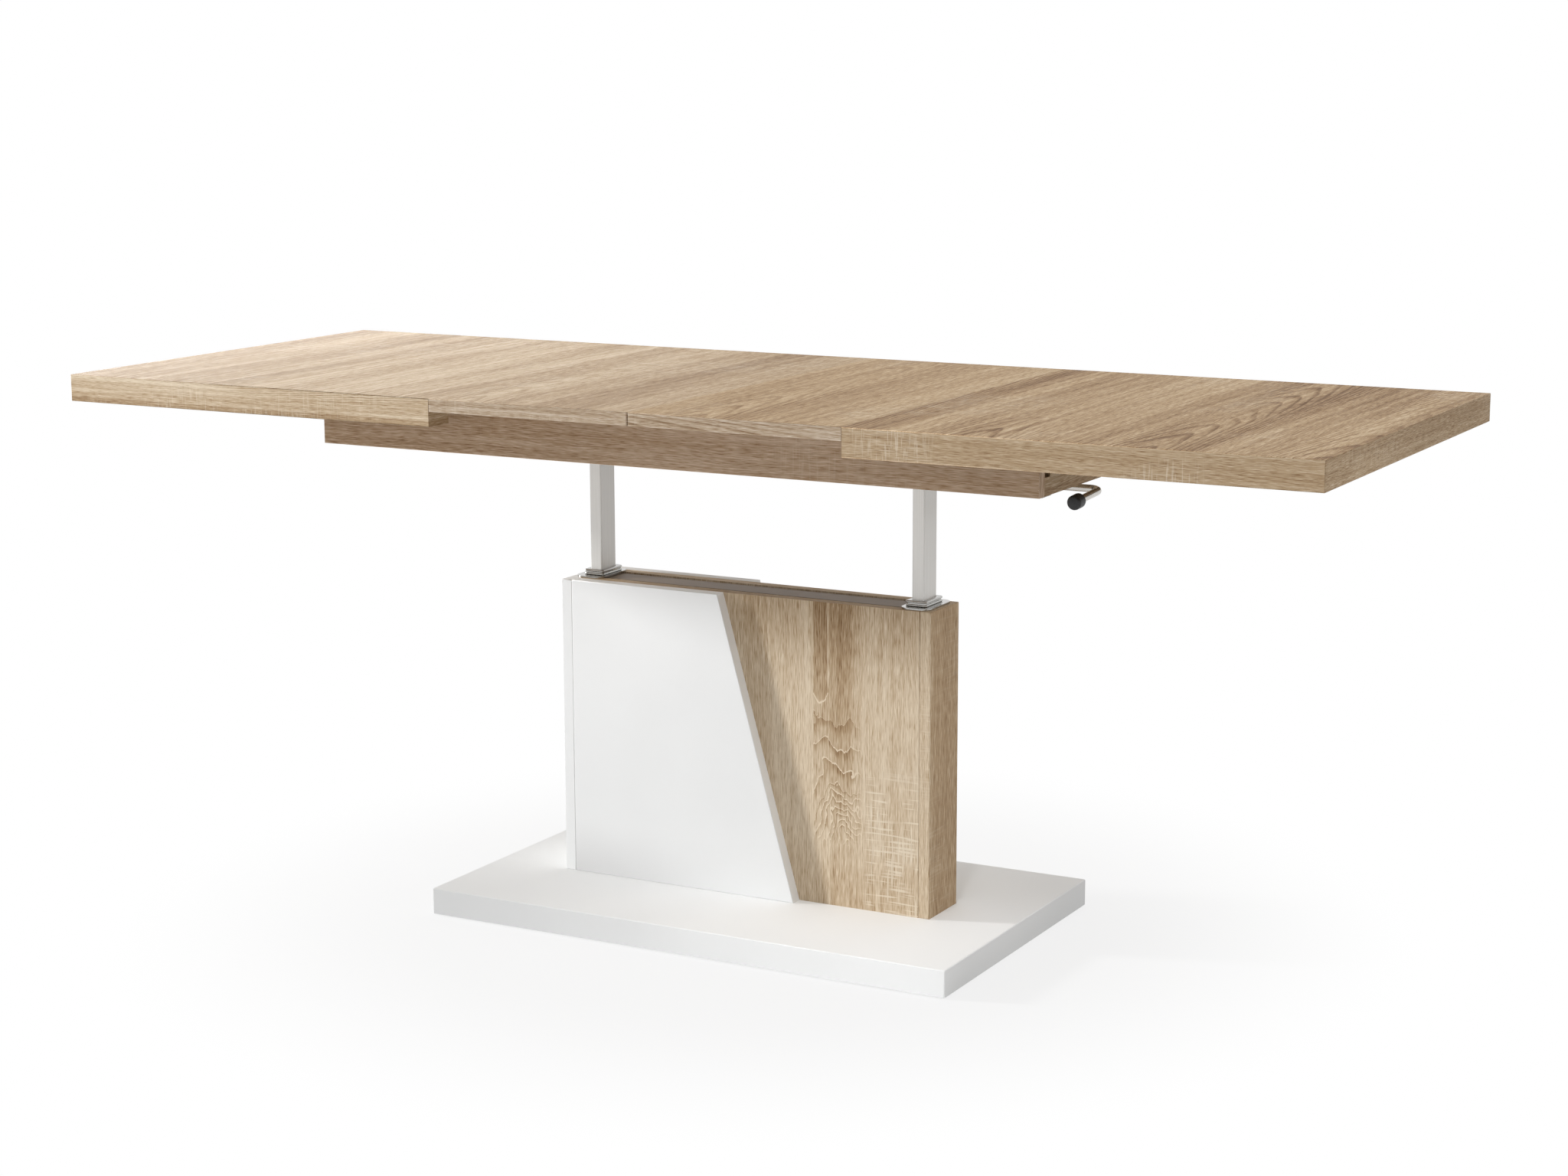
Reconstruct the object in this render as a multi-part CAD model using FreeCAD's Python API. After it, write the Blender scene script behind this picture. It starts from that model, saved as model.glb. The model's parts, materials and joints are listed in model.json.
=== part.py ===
import FreeCAD, Part
import math
import os
from FreeCAD import Vector

# A lifting pedestal table whose top pulls apart to take two loose inserts.
# Millimetres. +Z is up, +X runs along the top, -Y is the front.
# The origin is on the floor, under the middle of the base.
# The table is modelled raised, with its leaves pulled out and both inserts in place.

# Table top
leaf_length = 600.0
insert_length = 300.0
top_depth = 680.0
top_height = 735.0
top_board = 17.0
rim_height = 20.0
rim_width = 45.0
seam_gap = 0.4
edge_bevel = 0.8

# Apron frame under the top
apron_end_gap = 30.0
apron_side_gap = 31.0
apron_height = 64.0
apron_board = 16.0
leaf_clearance = 0.3
end_board_drop = 5.0
notch_width = 16.0
notch_floor = 23.0
shelf_board = 16.0
shelf_rise = 10.0
shelf_margin = 20.0
shelf_end_gap = 47.5

# Base and pedestal
base_length = 780.0
base_depth = 460.0
base_thickness = 36.0
base_bevel = 1.0
glide_height = 2.0
glide_size = 24.0
glide_inset = 40.0
pedestal_length = 558.0
pedestal_depth = 86.0
pedestal_height = 416.0
panel_board = 16.0
cladding_board = 18.0
cladding_top_reach = 231.0
cladding_foot_reach = 347.0

# Telescopic columns
column_x = 18.0
column_y = 38.0
column_wall = 1.5
column_corner = 2.0
column_overlap = 174.0
guide_tube_x = 28.0
guide_tube_y = 48.0
guide_tube_wall = 2.0
guide_tube_corner = 3.0
guide_tube_gap = 0.5
guide_clearance = 0.2
collar_brim = 3.0
collar_step = 3.0
collar_groove = 1.5
collar_groove_depth = 1.5
collar_sleeve = 30.0
bush_height = 30.0
foot_plate_thickness = 4.0
foot_plate_length = 84.0
foot_plate_side_gap = 1.0
head_plate_thickness = 4.0
head_plate_length = 92.0
head_plate_depth = 110.0
flange_thickness = 2.5
flange_length = 44.0
flange_outer_margin = 6.0
flange_side_margin = 4.0
flange_corner = 14.0
tie_bar_width = 40.0
tie_bar_thickness = 5.0
tie_bar_drop = 1.0

# Gas springs inside the columns
cylinder_radius = 7.0
cylinder_wall = 1.5
cylinder_length = 240.0
cylinder_end = 6.0
cylinder_stud_height = 4.0
cylinder_stud_radius = 4.0
rod_radius = 3.0
rod_clearance = 0.2
piston_height = 10.0
piston_clearance = 0.3
piston_top_gap = 10.0
anchor_height = 16.0
anchor_clearance = 0.1
pin_radius = 1.3
pin_bore_radius = 1.6
pin_depth = 24.0
pin_head_radius = 3.0
pin_head_height = 1.5
pin_cam_gap = 0.3
pin_stroke_gap = 2.2

# Release lever
shaft_radius = 5.0
shaft_clearance = 0.2
shaft_below_head = 33.0
shaft_tail = 5.0
lever_inset = 12.0
lever_bend = 16.0
lever_arm = 88.0
lever_droop_deg = 3.0
knob_radius = 9.5
knob_length = 20.0
knob_bevel = 2.5
knob_wall = 5.0
cam_radius = 11.0
cam_offset = 5.0
cam_thickness = 8.0
hanger_thickness = 3.0
hanger_width = 28.0
hanger_foot = 26.0
hanger_lip = 10.0
hanger_inset = 17.0

# Ball-bearing slides for the leaves
slide_height = 35.0
slide_depth = 10.0
slide_sheet = 1.2
slide_lip = 1.5
slide_drop = 2.7
slide_start = 15.0
slide_end_gap = 10.0
ball_radius = 1.6
ball_play = 0.2
cage_sheet = 0.8
cage_gap = 0.5
cage_length = 160.0
balls_per_row = 3
inner_tip_gap = 3.0
bracket_sheet = 2.0
bracket_width = 26.0
bracket_drop = 26.0

# Bolts of the column feet
bolt_radius = 4.0
bolt_head_across = 13.0
bolt_head_height = 6.0
bolt_recess_radius = 9.0
bolt_recess_depth = 8.0
bolt_setback = 27.0
hole_clearance = 0.1

# Places worked out from the sizes above
leaf_under = top_height - top_board
leaf_inner = insert_length
leaf_outer = insert_length + leaf_length
apron_length = 2 * (leaf_length - rim_width - apron_end_gap)
apron_depth = top_depth - 2 * (rim_width + apron_side_gap)
apron_top = leaf_under - leaf_clearance
apron_bottom = apron_top - apron_height
apron_inner = apron_depth / 2 - apron_board
end_inner = apron_length / 2 - apron_board
shelf_bottom = apron_bottom + shelf_rise
shelf_top = shelf_bottom + shelf_board
base_top = glide_height + base_thickness
pedestal_top = base_top + pedestal_height
panel_outer = pedestal_depth / 2
panel_inner = panel_outer - panel_board
end_panel_inner = pedestal_length / 2 - panel_board
cladding_face = panel_outer + cladding_board
column_centre = end_panel_inner - guide_tube_gap - guide_tube_x / 2
column_foot = pedestal_top - column_overlap
head_bottom = shelf_bottom - head_plate_thickness
foot_top = base_top + foot_plate_thickness
flange_top = pedestal_top + flange_thickness
guide_bore_x = guide_tube_x - 2 * guide_tube_wall
guide_bore_y = guide_tube_y - 2 * guide_tube_wall
column_bore_x = column_x - 2 * column_wall
column_bore_y = column_y - 2 * column_wall
shelf_inner = column_centre - head_plate_length / 2 - shelf_margin
shelf_outer = end_inner - shelf_end_gap
lever_reach = end_inner - lever_inset
shaft_height = head_bottom - shaft_below_head
cam_bottom = shaft_height - cam_radius
pin_top = cam_bottom - pin_cam_gap
anchor_top = pin_top - pin_head_height - pin_stroke_gap
anchor_bottom = anchor_top - anchor_height
cylinder_bottom = foot_top + cylinder_stud_height
cylinder_top = cylinder_bottom + cylinder_length
piston_top = cylinder_top - cylinder_end - piston_top_gap
slide_travel = insert_length
slide_length = apron_length / 2 - slide_start - slide_end_gap
slide_top = apron_top - slide_drop
slide_bottom = slide_top - slide_height
slide_face = apron_inner - slide_depth
ball_row_offset = slide_height / 2 - slide_sheet - ball_play - ball_radius
inner_half_height = ball_row_offset - ball_radius - ball_play
slide_middle = (slide_top + slide_bottom) / 2
sides = {"left": -1, "right": 1}


def box(x0, x1, y0, y1, z0, z1):
    """A block between two values on each axis, given in either order."""
    low = Vector(min(x0, x1), min(y0, y1), min(z0, z1))
    return Part.makeBox(abs(x1 - x0), abs(y1 - y0), abs(z1 - z0), low)


def peg(radius, x, y, z0, z1):
    """An upright cylinder."""
    return Part.makeCylinder(radius, z1 - z0, Vector(x, y, z0))


def cross_peg(radius, x0, x1, y, z):
    """A cylinder along X."""
    return Part.makeCylinder(radius, x1 - x0, Vector(x0, y, z), Vector(1, 0, 0))


def square_bar(size_x, size_y, x, z0, z1):
    """An upright bar of rectangular section, centred on x and on Y zero."""
    return box(x - size_x / 2, x + size_x / 2, -size_y / 2, size_y / 2, z0, z1)


def rounded_bar(size_x, size_y, corner, x, z0, z1):
    """An upright bar of rounded rectangular section, centred on x and on Y zero."""
    bar = square_bar(size_x, size_y, x, z0, z1)
    upright = [e for e in bar.Edges if abs(e.tangentAt(e.FirstParameter).z) > 0.5]
    return bar.makeFillet(corner, upright)


def prism(points, push):
    """A solid from a flat closed outline, pushed along a vector."""
    wire = Part.makePolygon(points + [points[0]])
    return Part.Face(wire).extrude(push)


def hexagon_head(foot, across, height):
    """An upright six-sided bolt head."""
    reach = across / math.sqrt(3)
    turns = [math.radians(60 * step) for step in range(6)]
    corners = [foot + Vector(reach * math.cos(t), reach * math.sin(t), 0) for t in turns]
    return prism(corners, Vector(0, 0, height))


def faceted_ball(radius, centre):
    """A ball with few faces: two crossed eight-sided bars in common."""
    turns = [math.radians(45 * step) for step in range(8)]
    upright = [centre + Vector(radius * math.cos(t), radius * math.sin(t), -radius) for t in turns]
    lying = [centre + Vector(-radius, radius * math.cos(t), radius * math.sin(t)) for t in turns]
    post = prism(upright, Vector(0, 0, 2 * radius))
    return post.common(prism(lying, Vector(2 * radius, 0, 0)))


def turned(profile, axis_point, axis):
    """A solid turned from (radius, height) points about an axis."""
    side = Vector(1, 0, 0)
    points = [axis_point + side * r + axis * h for r, h in profile]
    face = Part.Face(Part.makePolygon(points + [points[0]]))
    return face.revolve(axis_point, axis, 360)


def chosen_edges(solid, wanted):
    """The edges whose middle point satisfies the test."""
    return [e for e in solid.Edges if wanted(e.CenterOfMass)]


def eased(solid, width, wanted):
    """A board with the small bevel of its edging on the chosen edges."""
    return solid.makeChamfer(width, chosen_edges(solid, wanted))


def near(value, target):
    return abs(value - target) < 0.01


def mirrored_ends(make):
    """One solid made for each end of the table, as a dictionary by side name."""
    return {name: make(sign) for name, sign in sides.items()}


# Base plate, with its bolts and floor glides
bolt_line = column_centre - guide_tube_x / 2 - bolt_setback
bolt_points = [(sign * bolt_line, 0.0) for sign in sides.values()]


def base_plate():
    plate = box(
        -base_length / 2, base_length / 2,
        -base_depth / 2, base_depth / 2,
        glide_height, base_top,
    )
    plate = eased(plate, base_bevel, lambda p: not near(p.z, glide_height))
    recess_top = glide_height + bolt_recess_depth
    for x, y in bolt_points:
        plate = plate.cut(peg(bolt_recess_radius, x, y, glide_height, recess_top))
        plate = plate.cut(peg(bolt_radius + hole_clearance, x, y, recess_top, base_top))
    return plate


def glide_pads():
    x = base_length / 2 - glide_inset
    y = base_depth / 2 - glide_inset
    half = glide_size / 2
    places = [(a * x, b * y) for a in (-1, 0, 1) for b in (-1, 1)]
    return [
        box(px - half, px + half, py - half, py + half, 0, glide_height)
        for px, py in places
    ]


def base_bolts():
    bolts = []
    recess_top = glide_height + bolt_recess_depth
    for x, y in bolt_points:
        head_foot = Vector(x, y, recess_top - bolt_head_height)
        head = hexagon_head(head_foot, bolt_head_across, bolt_head_height)
        bolts.append(head.fuse(peg(bolt_radius, x, y, recess_top, foot_top)))
    return bolts


# Pedestal panels and the sloped white claddings
def long_panel(side):
    return box(
        -end_panel_inner, end_panel_inner,
        side * panel_inner, side * panel_outer,
        base_top, pedestal_top,
    )


def end_panel(sign, half_depth):
    outer = sign * pedestal_length / 2
    panel = box(
        sign * end_panel_inner, outer,
        -half_depth, half_depth,
        base_top, pedestal_top,
    )
    return eased(panel, edge_bevel, lambda p: near(p.x, outer) and not near(p.z, base_top))


def cladding(side):
    left = -end_panel_inner
    foot_tip = Vector(left + cladding_foot_reach, side * panel_outer, base_top)
    top_tip = Vector(left + cladding_top_reach, side * panel_outer, pedestal_top)
    outline = [
        Vector(left, side * panel_outer, base_top),
        foot_tip,
        top_tip,
        Vector(left, side * panel_outer, pedestal_top),
    ]
    slab = prism(outline, Vector(0, side * cladding_board, 0))
    slope_middle = (foot_tip + top_tip) * 0.5
    face = side * cladding_face

    def shown_edge(p):
        on_face = near(p.y, face)
        return on_face and (near(p.z, pedestal_top) or near(p.x, slope_middle.x))

    return eased(slab, edge_bevel, shown_edge)


# Guide tubes, fixed in the pedestal, and what they carry
def guide_tube(sign):
    x = sign * column_centre
    outer = rounded_bar(guide_tube_x, guide_tube_y, guide_tube_corner, x, foot_top, pedestal_top)
    bore = square_bar(guide_bore_x, guide_bore_y, x, foot_top, pedestal_top)
    return outer.cut(bore)


def foot_plate(sign):
    outer = sign * (end_panel_inner - guide_tube_gap)
    half_depth = panel_inner - foot_plate_side_gap
    plate = box(
        outer, outer - sign * foot_plate_length,
        -half_depth, half_depth,
        base_top, foot_top,
    )
    for x, y in bolt_points:
        plate = plate.cut(peg(bolt_radius + hole_clearance, x, y, base_top, foot_top))
    return plate


def tie_bar():
    reach = column_centre - guide_tube_x / 2
    top = pedestal_top - tie_bar_drop
    half = tie_bar_width / 2
    return box(-reach, reach, -half, half, top - tie_bar_thickness, top)


def flange_plate(sign):
    """The plate on the pedestal's top that the collar of a column stands on."""
    outer = pedestal_length / 2 - flange_outer_margin
    inner = outer - flange_length
    half = panel_outer - flange_side_margin
    plate = box(sign * inner, sign * outer, -half, half, pedestal_top, flange_top)
    middle = pedestal_top + flange_thickness / 2
    plate = plate.makeFillet(flange_corner, chosen_edges(plate, lambda p: near(p.z, middle)))
    x = sign * column_centre
    return plate.cut(square_bar(guide_bore_x, guide_bore_y, x, pedestal_top, flange_top))


def guide_collar(sign):
    """The two-stepped collar that the column slides through, with its sleeve in the guide tube."""
    x = sign * column_centre
    sleeve_x = guide_bore_x - 2 * guide_clearance
    sleeve_y = guide_bore_y - 2 * guide_clearance
    brim_x = guide_tube_x + collar_brim
    brim_y = guide_tube_y + 2 * collar_brim
    corner = column_corner
    groove_bottom = flange_top + collar_step
    groove_top = groove_bottom + collar_groove
    collar_top = groove_top + collar_step
    body = square_bar(sleeve_x, sleeve_y, x, flange_top - collar_sleeve, flange_top)
    body = body.fuse(rounded_bar(brim_x, brim_y, corner, x, flange_top, groove_bottom))
    waist_x = brim_x - 2 * collar_groove_depth
    waist_y = brim_y - 2 * collar_groove_depth
    body = body.fuse(square_bar(waist_x, waist_y, x, groove_bottom, groove_top))
    body = body.fuse(rounded_bar(brim_x, brim_y, corner, x, groove_top, collar_top))
    bore_x = column_x + 2 * guide_clearance
    bore_y = column_y + 2 * guide_clearance
    return body.cut(square_bar(bore_x, bore_y, x, flange_top - collar_sleeve, collar_top))


def gas_cylinder(sign):
    bore = cylinder_radius - cylinder_wall
    neck = rod_radius + rod_clearance
    length = cylinder_length + cylinder_stud_height
    floor = cylinder_stud_height + cylinder_end
    profile = [
        (0, 0),
        (cylinder_stud_radius, 0),
        (cylinder_stud_radius, cylinder_stud_height),
        (cylinder_radius, cylinder_stud_height),
        (cylinder_radius, length),
        (neck, length),
        (neck, length - cylinder_end),
        (bore, length - cylinder_end),
        (bore, floor),
        (0, floor),
    ]
    return turned(profile, Vector(sign * column_centre, 0, foot_top), Vector(0, 0, 1))


# Columns, which rise with the top
def column(sign):
    x = sign * column_centre
    outer = rounded_bar(column_x, column_y, column_corner, x, column_foot, head_bottom)
    bore = square_bar(column_bore_x, column_bore_y, x, column_foot, head_bottom)
    hole = cross_peg(shaft_radius + shaft_clearance, x - column_x, x + column_x, 0, shaft_height)
    return outer.cut(bore).cut(hole)


def lower_bush(sign):
    x = sign * column_centre
    size_x = guide_bore_x - 2 * guide_clearance
    size_y = guide_bore_y - 2 * guide_clearance
    top = column_foot + bush_height
    ring = square_bar(size_x, size_y, x, column_foot, top)
    return ring.cut(rounded_bar(column_x, column_y, column_corner, x, column_foot, top))


def gas_rod(sign):
    """The piston rod, hollow at its top end for the release pin."""
    base = Vector(sign * column_centre, 0, piston_top - piston_height)
    piston = cylinder_radius - cylinder_wall - piston_clearance
    length = anchor_top - base.z
    profile = [
        (0, 0),
        (piston, 0),
        (piston, piston_height),
        (rod_radius, piston_height),
        (rod_radius, length),
        (pin_bore_radius, length),
        (pin_bore_radius, length - pin_depth - 2 * pin_head_height),
        (0, length - pin_depth - 2 * pin_head_height),
    ]
    return turned(profile, base, Vector(0, 0, 1))


def rod_anchor(sign):
    """The block that fixes the piston rod in the top of the column."""
    x = sign * column_centre
    size_x = column_bore_x - 2 * anchor_clearance
    size_y = column_bore_y - 2 * anchor_clearance
    block = square_bar(size_x, size_y, x, anchor_bottom, anchor_top)
    return block.cut(peg(rod_radius + hole_clearance / 2, x, 0, anchor_bottom, anchor_top))


def release_pin(sign):
    base = Vector(sign * column_centre, 0, pin_top - pin_head_height - pin_depth)
    profile = [
        (0, 0),
        (pin_radius, 0),
        (pin_radius, pin_depth),
        (pin_head_radius, pin_depth),
        (pin_head_radius, pin_depth + pin_head_height),
        (0, pin_depth + pin_head_height),
    ]
    return turned(profile, base, Vector(0, 0, 1))


def head_plate(sign):
    x = sign * column_centre
    half_y = head_plate_depth / 2
    half_x = head_plate_length / 2
    return box(x - half_x, x + half_x, -half_y, half_y, head_bottom, shelf_bottom)


# Apron frame
def apron_long_board(side):
    half = apron_length / 2
    board = box(
        -half, half,
        side * apron_inner, side * apron_depth / 2,
        apron_bottom, apron_top,
    )
    face = side * apron_depth / 2
    return eased(board, edge_bevel, lambda p: near(p.y, face) and not near(p.z, apron_top))


def apron_end_board(sign):
    """An end board, notched behind each long board for the slides to pass."""
    top = apron_top - end_board_drop
    outer = sign * apron_length / 2
    board = box(sign * end_inner, outer, -apron_inner, apron_inner, apron_bottom, top)
    for side in (-1, 1):
        notch = box(
            sign * end_inner, outer,
            side * apron_inner, side * (apron_inner - notch_width),
            apron_bottom + notch_floor, top,
        )
        board = board.cut(notch)
    return board


def shelf(sign):
    """The cross board that the column head is screwed to; stored inserts lie on it."""
    return box(
        sign * shelf_inner, sign * shelf_outer,
        -apron_inner, apron_inner,
        shelf_bottom, shelf_top,
    )


# Slides: outer rails on the apron, inner rails and brackets on the leaves, ball cages between
def slide_outer(sign, side):
    start = sign * slide_start
    end = sign * (slide_start + slide_length)
    wall = side * apron_inner
    front = side * slide_face
    sheet = slide_sheet
    rail = box(start, end, wall, wall - side * sheet, slide_bottom, slide_top)
    for edge, inward in ((slide_top, -1), (slide_bottom, 1)):
        rail = rail.fuse(box(start, end, wall, front, edge, edge + inward * sheet))
        lip = edge + inward * (sheet + slide_lip)
        rail = rail.fuse(box(start, end, front, front + side * sheet, edge, lip))
    return rail.removeSplitter()


def slide_inner(sign, side):
    start = sign * (slide_start + slide_travel)
    end = sign * (slide_start + slide_travel + slide_length)
    front = side * slide_face
    tip = side * (apron_inner - inner_tip_gap)
    low = slide_middle - inner_half_height
    high = slide_middle + inner_half_height
    sheet = slide_sheet
    rail = box(start, end, front, front + side * sheet, low, high)
    rail = rail.fuse(box(start, end, front, tip, high, high - sheet))
    rail = rail.fuse(box(start, end, front, tip, low, low + sheet))
    return rail.removeSplitter()


def ball_cage(sign, side):
    """A bent strip with its two rows of balls, between an outer and an inner rail."""
    middle = slide_start + (slide_travel + slide_length) / 2
    near_end = middle - cage_length / 2
    start = sign * near_end
    end = sign * (near_end + cage_length)
    back = side * (apron_inner - slide_sheet - cage_gap)
    front = side * (slide_face + slide_sheet + 2 * cage_gap)
    ball_y = (side * (slide_face + slide_sheet) + side * (apron_inner - inner_tip_gap)) / 2
    high = slide_middle + ball_row_offset
    low = slide_middle - ball_row_offset
    half = cage_sheet / 2
    cage = box(start, end, back, back - side * cage_sheet, low - half, high + half)
    pitch = cage_length / balls_per_row
    for row in (low, high):
        cage = cage.fuse(box(start, end, back, front, row - half, row + half))
        for index in range(balls_per_row):
            x = sign * (near_end + pitch * (index + 0.5))
            cage = cage.fuse(faceted_ball(ball_radius, Vector(x, ball_y, row)))
    return cage


def leaf_bracket(sign, side):
    """The angle that carries a leaf on its inner rail."""
    start = sign * (slide_start + slide_travel)
    end = sign * (slide_start + slide_travel + slide_length)
    face = side * slide_face
    sheet = bracket_sheet
    upright = box(start, end, face, face - side * sheet, leaf_under - bracket_drop, leaf_under)
    flat = box(start, end, face, face - side * bracket_width, leaf_under - sheet, leaf_under)
    return upright.fuse(flat).removeSplitter()


# Leaves and inserts
def leaf_board(sign):
    inner = sign * leaf_inner
    outer = sign * leaf_outer
    half = top_depth / 2
    board = box(inner, outer, -half, half, leaf_under, top_height)
    return eased(
        board, edge_bevel,
        lambda p: not near(p.x, inner) and not near(p.z, leaf_under),
    )


def leaf_rim(sign):
    """Three strips under the leaf's edges, which make it look as thick as the base."""
    inner = sign * leaf_inner
    outer = sign * leaf_outer
    half = top_depth / 2
    bottom = leaf_under - rim_height
    strips = []
    for side in (-1, 1):
        face = side * half
        strip = box(inner, outer, face, face - side * rim_width, bottom, leaf_under)
        strips.append(eased(
            strip, edge_bevel,
            lambda p: (near(p.y, face) and (near(p.z, bottom) or near(p.x, outer)))
            or (near(p.x, outer) and near(p.z, bottom)),
        ))
    inset = half - rim_width
    end_strip = box(outer, outer - sign * rim_width, -inset, inset, bottom, leaf_under)
    strips.append(eased(end_strip, edge_bevel, lambda p: near(p.x, outer) and near(p.z, bottom)))
    return strips


def insert_board(sign):
    half = top_depth / 2
    start = sign * seam_gap / 2
    end = sign * (insert_length - seam_gap)
    board = box(start, end, -half, half, leaf_under, top_height)
    return eased(board, edge_bevel, lambda p: near(abs(p.y), half) and near(p.z, top_height))


# Release lever: one bent rod through both columns, with a cam in each
def lever_directions():
    droop = math.radians(lever_droop_deg)
    arm = Vector(0, -math.cos(droop), -math.sin(droop))
    return Vector(1, 0, 0), arm


def release_lever():
    along, arm = lever_directions()
    corner = Vector(lever_reach, 0, shaft_height)
    tail = Vector(-(column_centre + column_x / 2 + shaft_tail), 0, shaft_height)
    bend_start = corner - along * lever_bend
    bend_end = corner + arm * lever_bend
    centre = corner - along * lever_bend + arm * lever_bend
    bend_middle = centre + (along - arm).normalize() * lever_bend
    path = Part.Wire([
        Part.LineSegment(tail, bend_start).toShape(),
        Part.Arc(bend_start, bend_middle, bend_end).toShape(),
        Part.LineSegment(bend_end, corner + arm * lever_arm).toShape(),
    ])
    section = Part.Wire(Part.makeCircle(shaft_radius, tail, along))
    return path.makePipeShell([section], True, False)


def lever_knob():
    """The moulded cap on the lever's end, turned with bevelled ends."""
    _, arm = lever_directions()
    rod_end = Vector(lever_reach, 0, shaft_height) + arm * lever_arm
    base = rod_end + arm * (knob_wall - knob_length)
    profile = [
        (shaft_radius, 0),
        (knob_radius - knob_bevel, 0),
        (knob_radius, knob_bevel),
        (knob_radius, knob_length - knob_bevel),
        (knob_radius - knob_bevel, knob_length),
        (0, knob_length),
        (0, knob_length - knob_wall),
        (shaft_radius, knob_length - knob_wall),
    ]
    return turned(profile, base, arm)


def release_cam(sign):
    """An eccentric disc; lifting the lever brings its centre down onto the release pin."""
    x0 = sign * column_centre - cam_thickness / 2
    x1 = x0 + cam_thickness
    disc = cross_peg(cam_radius, x0, x1, cam_offset, shaft_height)
    return disc.cut(cross_peg(shaft_radius, x0, x1, 0, shaft_height))


def shaft_hanger():
    """An angle under the right shelf that carries the lever's outer end."""
    back = shelf_outer - hanger_inset - hanger_foot
    half = hanger_width / 2
    foot = box(back, back + hanger_foot, -half, half, shelf_bottom - hanger_thickness, shelf_bottom)
    low = shaft_height - shaft_radius - hanger_lip
    leg = box(back, back + hanger_thickness, -half, half, low, shelf_bottom)
    hole = cross_peg(shaft_radius + shaft_clearance, back, back + hanger_thickness, 0, shaft_height)
    return foot.fuse(leg).removeSplitter().cut(hole)


def both_slides(make, sign):
    return [make(sign, side) for side in (-1, 1)]


def all_parts():
    """Every node's name, with its solids."""
    parts = {
        "base_plate": [base_plate()],
        "glide_pads": glide_pads(),
        "base_bolts": base_bolts(),
        "pedestal_front_panel": [long_panel(-1)],
        "pedestal_back_panel": [long_panel(1)],
        "pedestal_left_end_panel": [end_panel(-1, cladding_face)],
        "pedestal_right_end_panel": [end_panel(1, panel_outer)],
        "front_cladding": [cladding(-1)],
        "back_cladding": [cladding(1)],
        "tie_bar": [tie_bar()],
        "apron_front_board": [apron_long_board(-1)],
        "apron_back_board": [apron_long_board(1)],
        "release_lever": [release_lever()],
        "lever_knob": [lever_knob()],
        "release_cams": list(mirrored_ends(release_cam).values()),
        "release_pins": list(mirrored_ends(release_pin).values()),
        "shaft_hanger": [shaft_hanger()],
    }
    one_per_end = {
        "guide_tube": guide_tube,
        "foot_plate": foot_plate,
        "flange_plate": flange_plate,
        "guide_collar": guide_collar,
        "gas_cylinder": gas_cylinder,
        "gas_rod": gas_rod,
        "rod_anchor": rod_anchor,
        "column": column,
        "lower_bush": lower_bush,
        "head_plate": head_plate,
        "apron_end_board": apron_end_board,
        "shelf": shelf,
        "leaf_board": leaf_board,
        "insert_board": insert_board,
    }
    for noun, make in one_per_end.items():
        for side, solid in mirrored_ends(make).items():
            parts[f"{side}_{noun}"] = [solid]
    pair_per_end = {
        "slide_outer_rails": slide_outer,
        "slide_inner_rails": slide_inner,
        "ball_cages": ball_cage,
        "leaf_brackets": leaf_bracket,
    }
    for noun, make in pair_per_end.items():
        for side, sign in sides.items():
            parts[f"{side}_{noun}"] = both_slides(make, sign)
    for side, sign in sides.items():
        parts[f"{side}_leaf_rim"] = leaf_rim(sign)
    return parts


def main():
    os.makedirs("parts", exist_ok=True)
    for name, solids in all_parts().items():
        shape = solids[0] if len(solids) == 1 else Part.makeCompound(solids)
        shape.exportStep(f"parts/{name}.step")
        volume = sum(s.Volume for s in solids) / 1000
        print(f"{name}: {len(shape.Solids)} solids, {volume:.1f} cm3, valid {shape.isValid()}")


main()
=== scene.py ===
# %% [markdown]
# # A table that lifts and pulls out
# The real table is a low slab pedestal on a flat white base, with an oak-decor top.
# The top rises on two flat columns, and its two leaves pull apart to take two loose inserts.
# The CAD model already holds every piece at its true size, so this lesson loads it as a fixed frame.
# Then it dresses that frame: softened board edges, printed oak, satin lacquer, metal and screws.

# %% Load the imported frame
import json
import math

import bmesh
import bpy
from mathutils import Matrix, Vector

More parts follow.
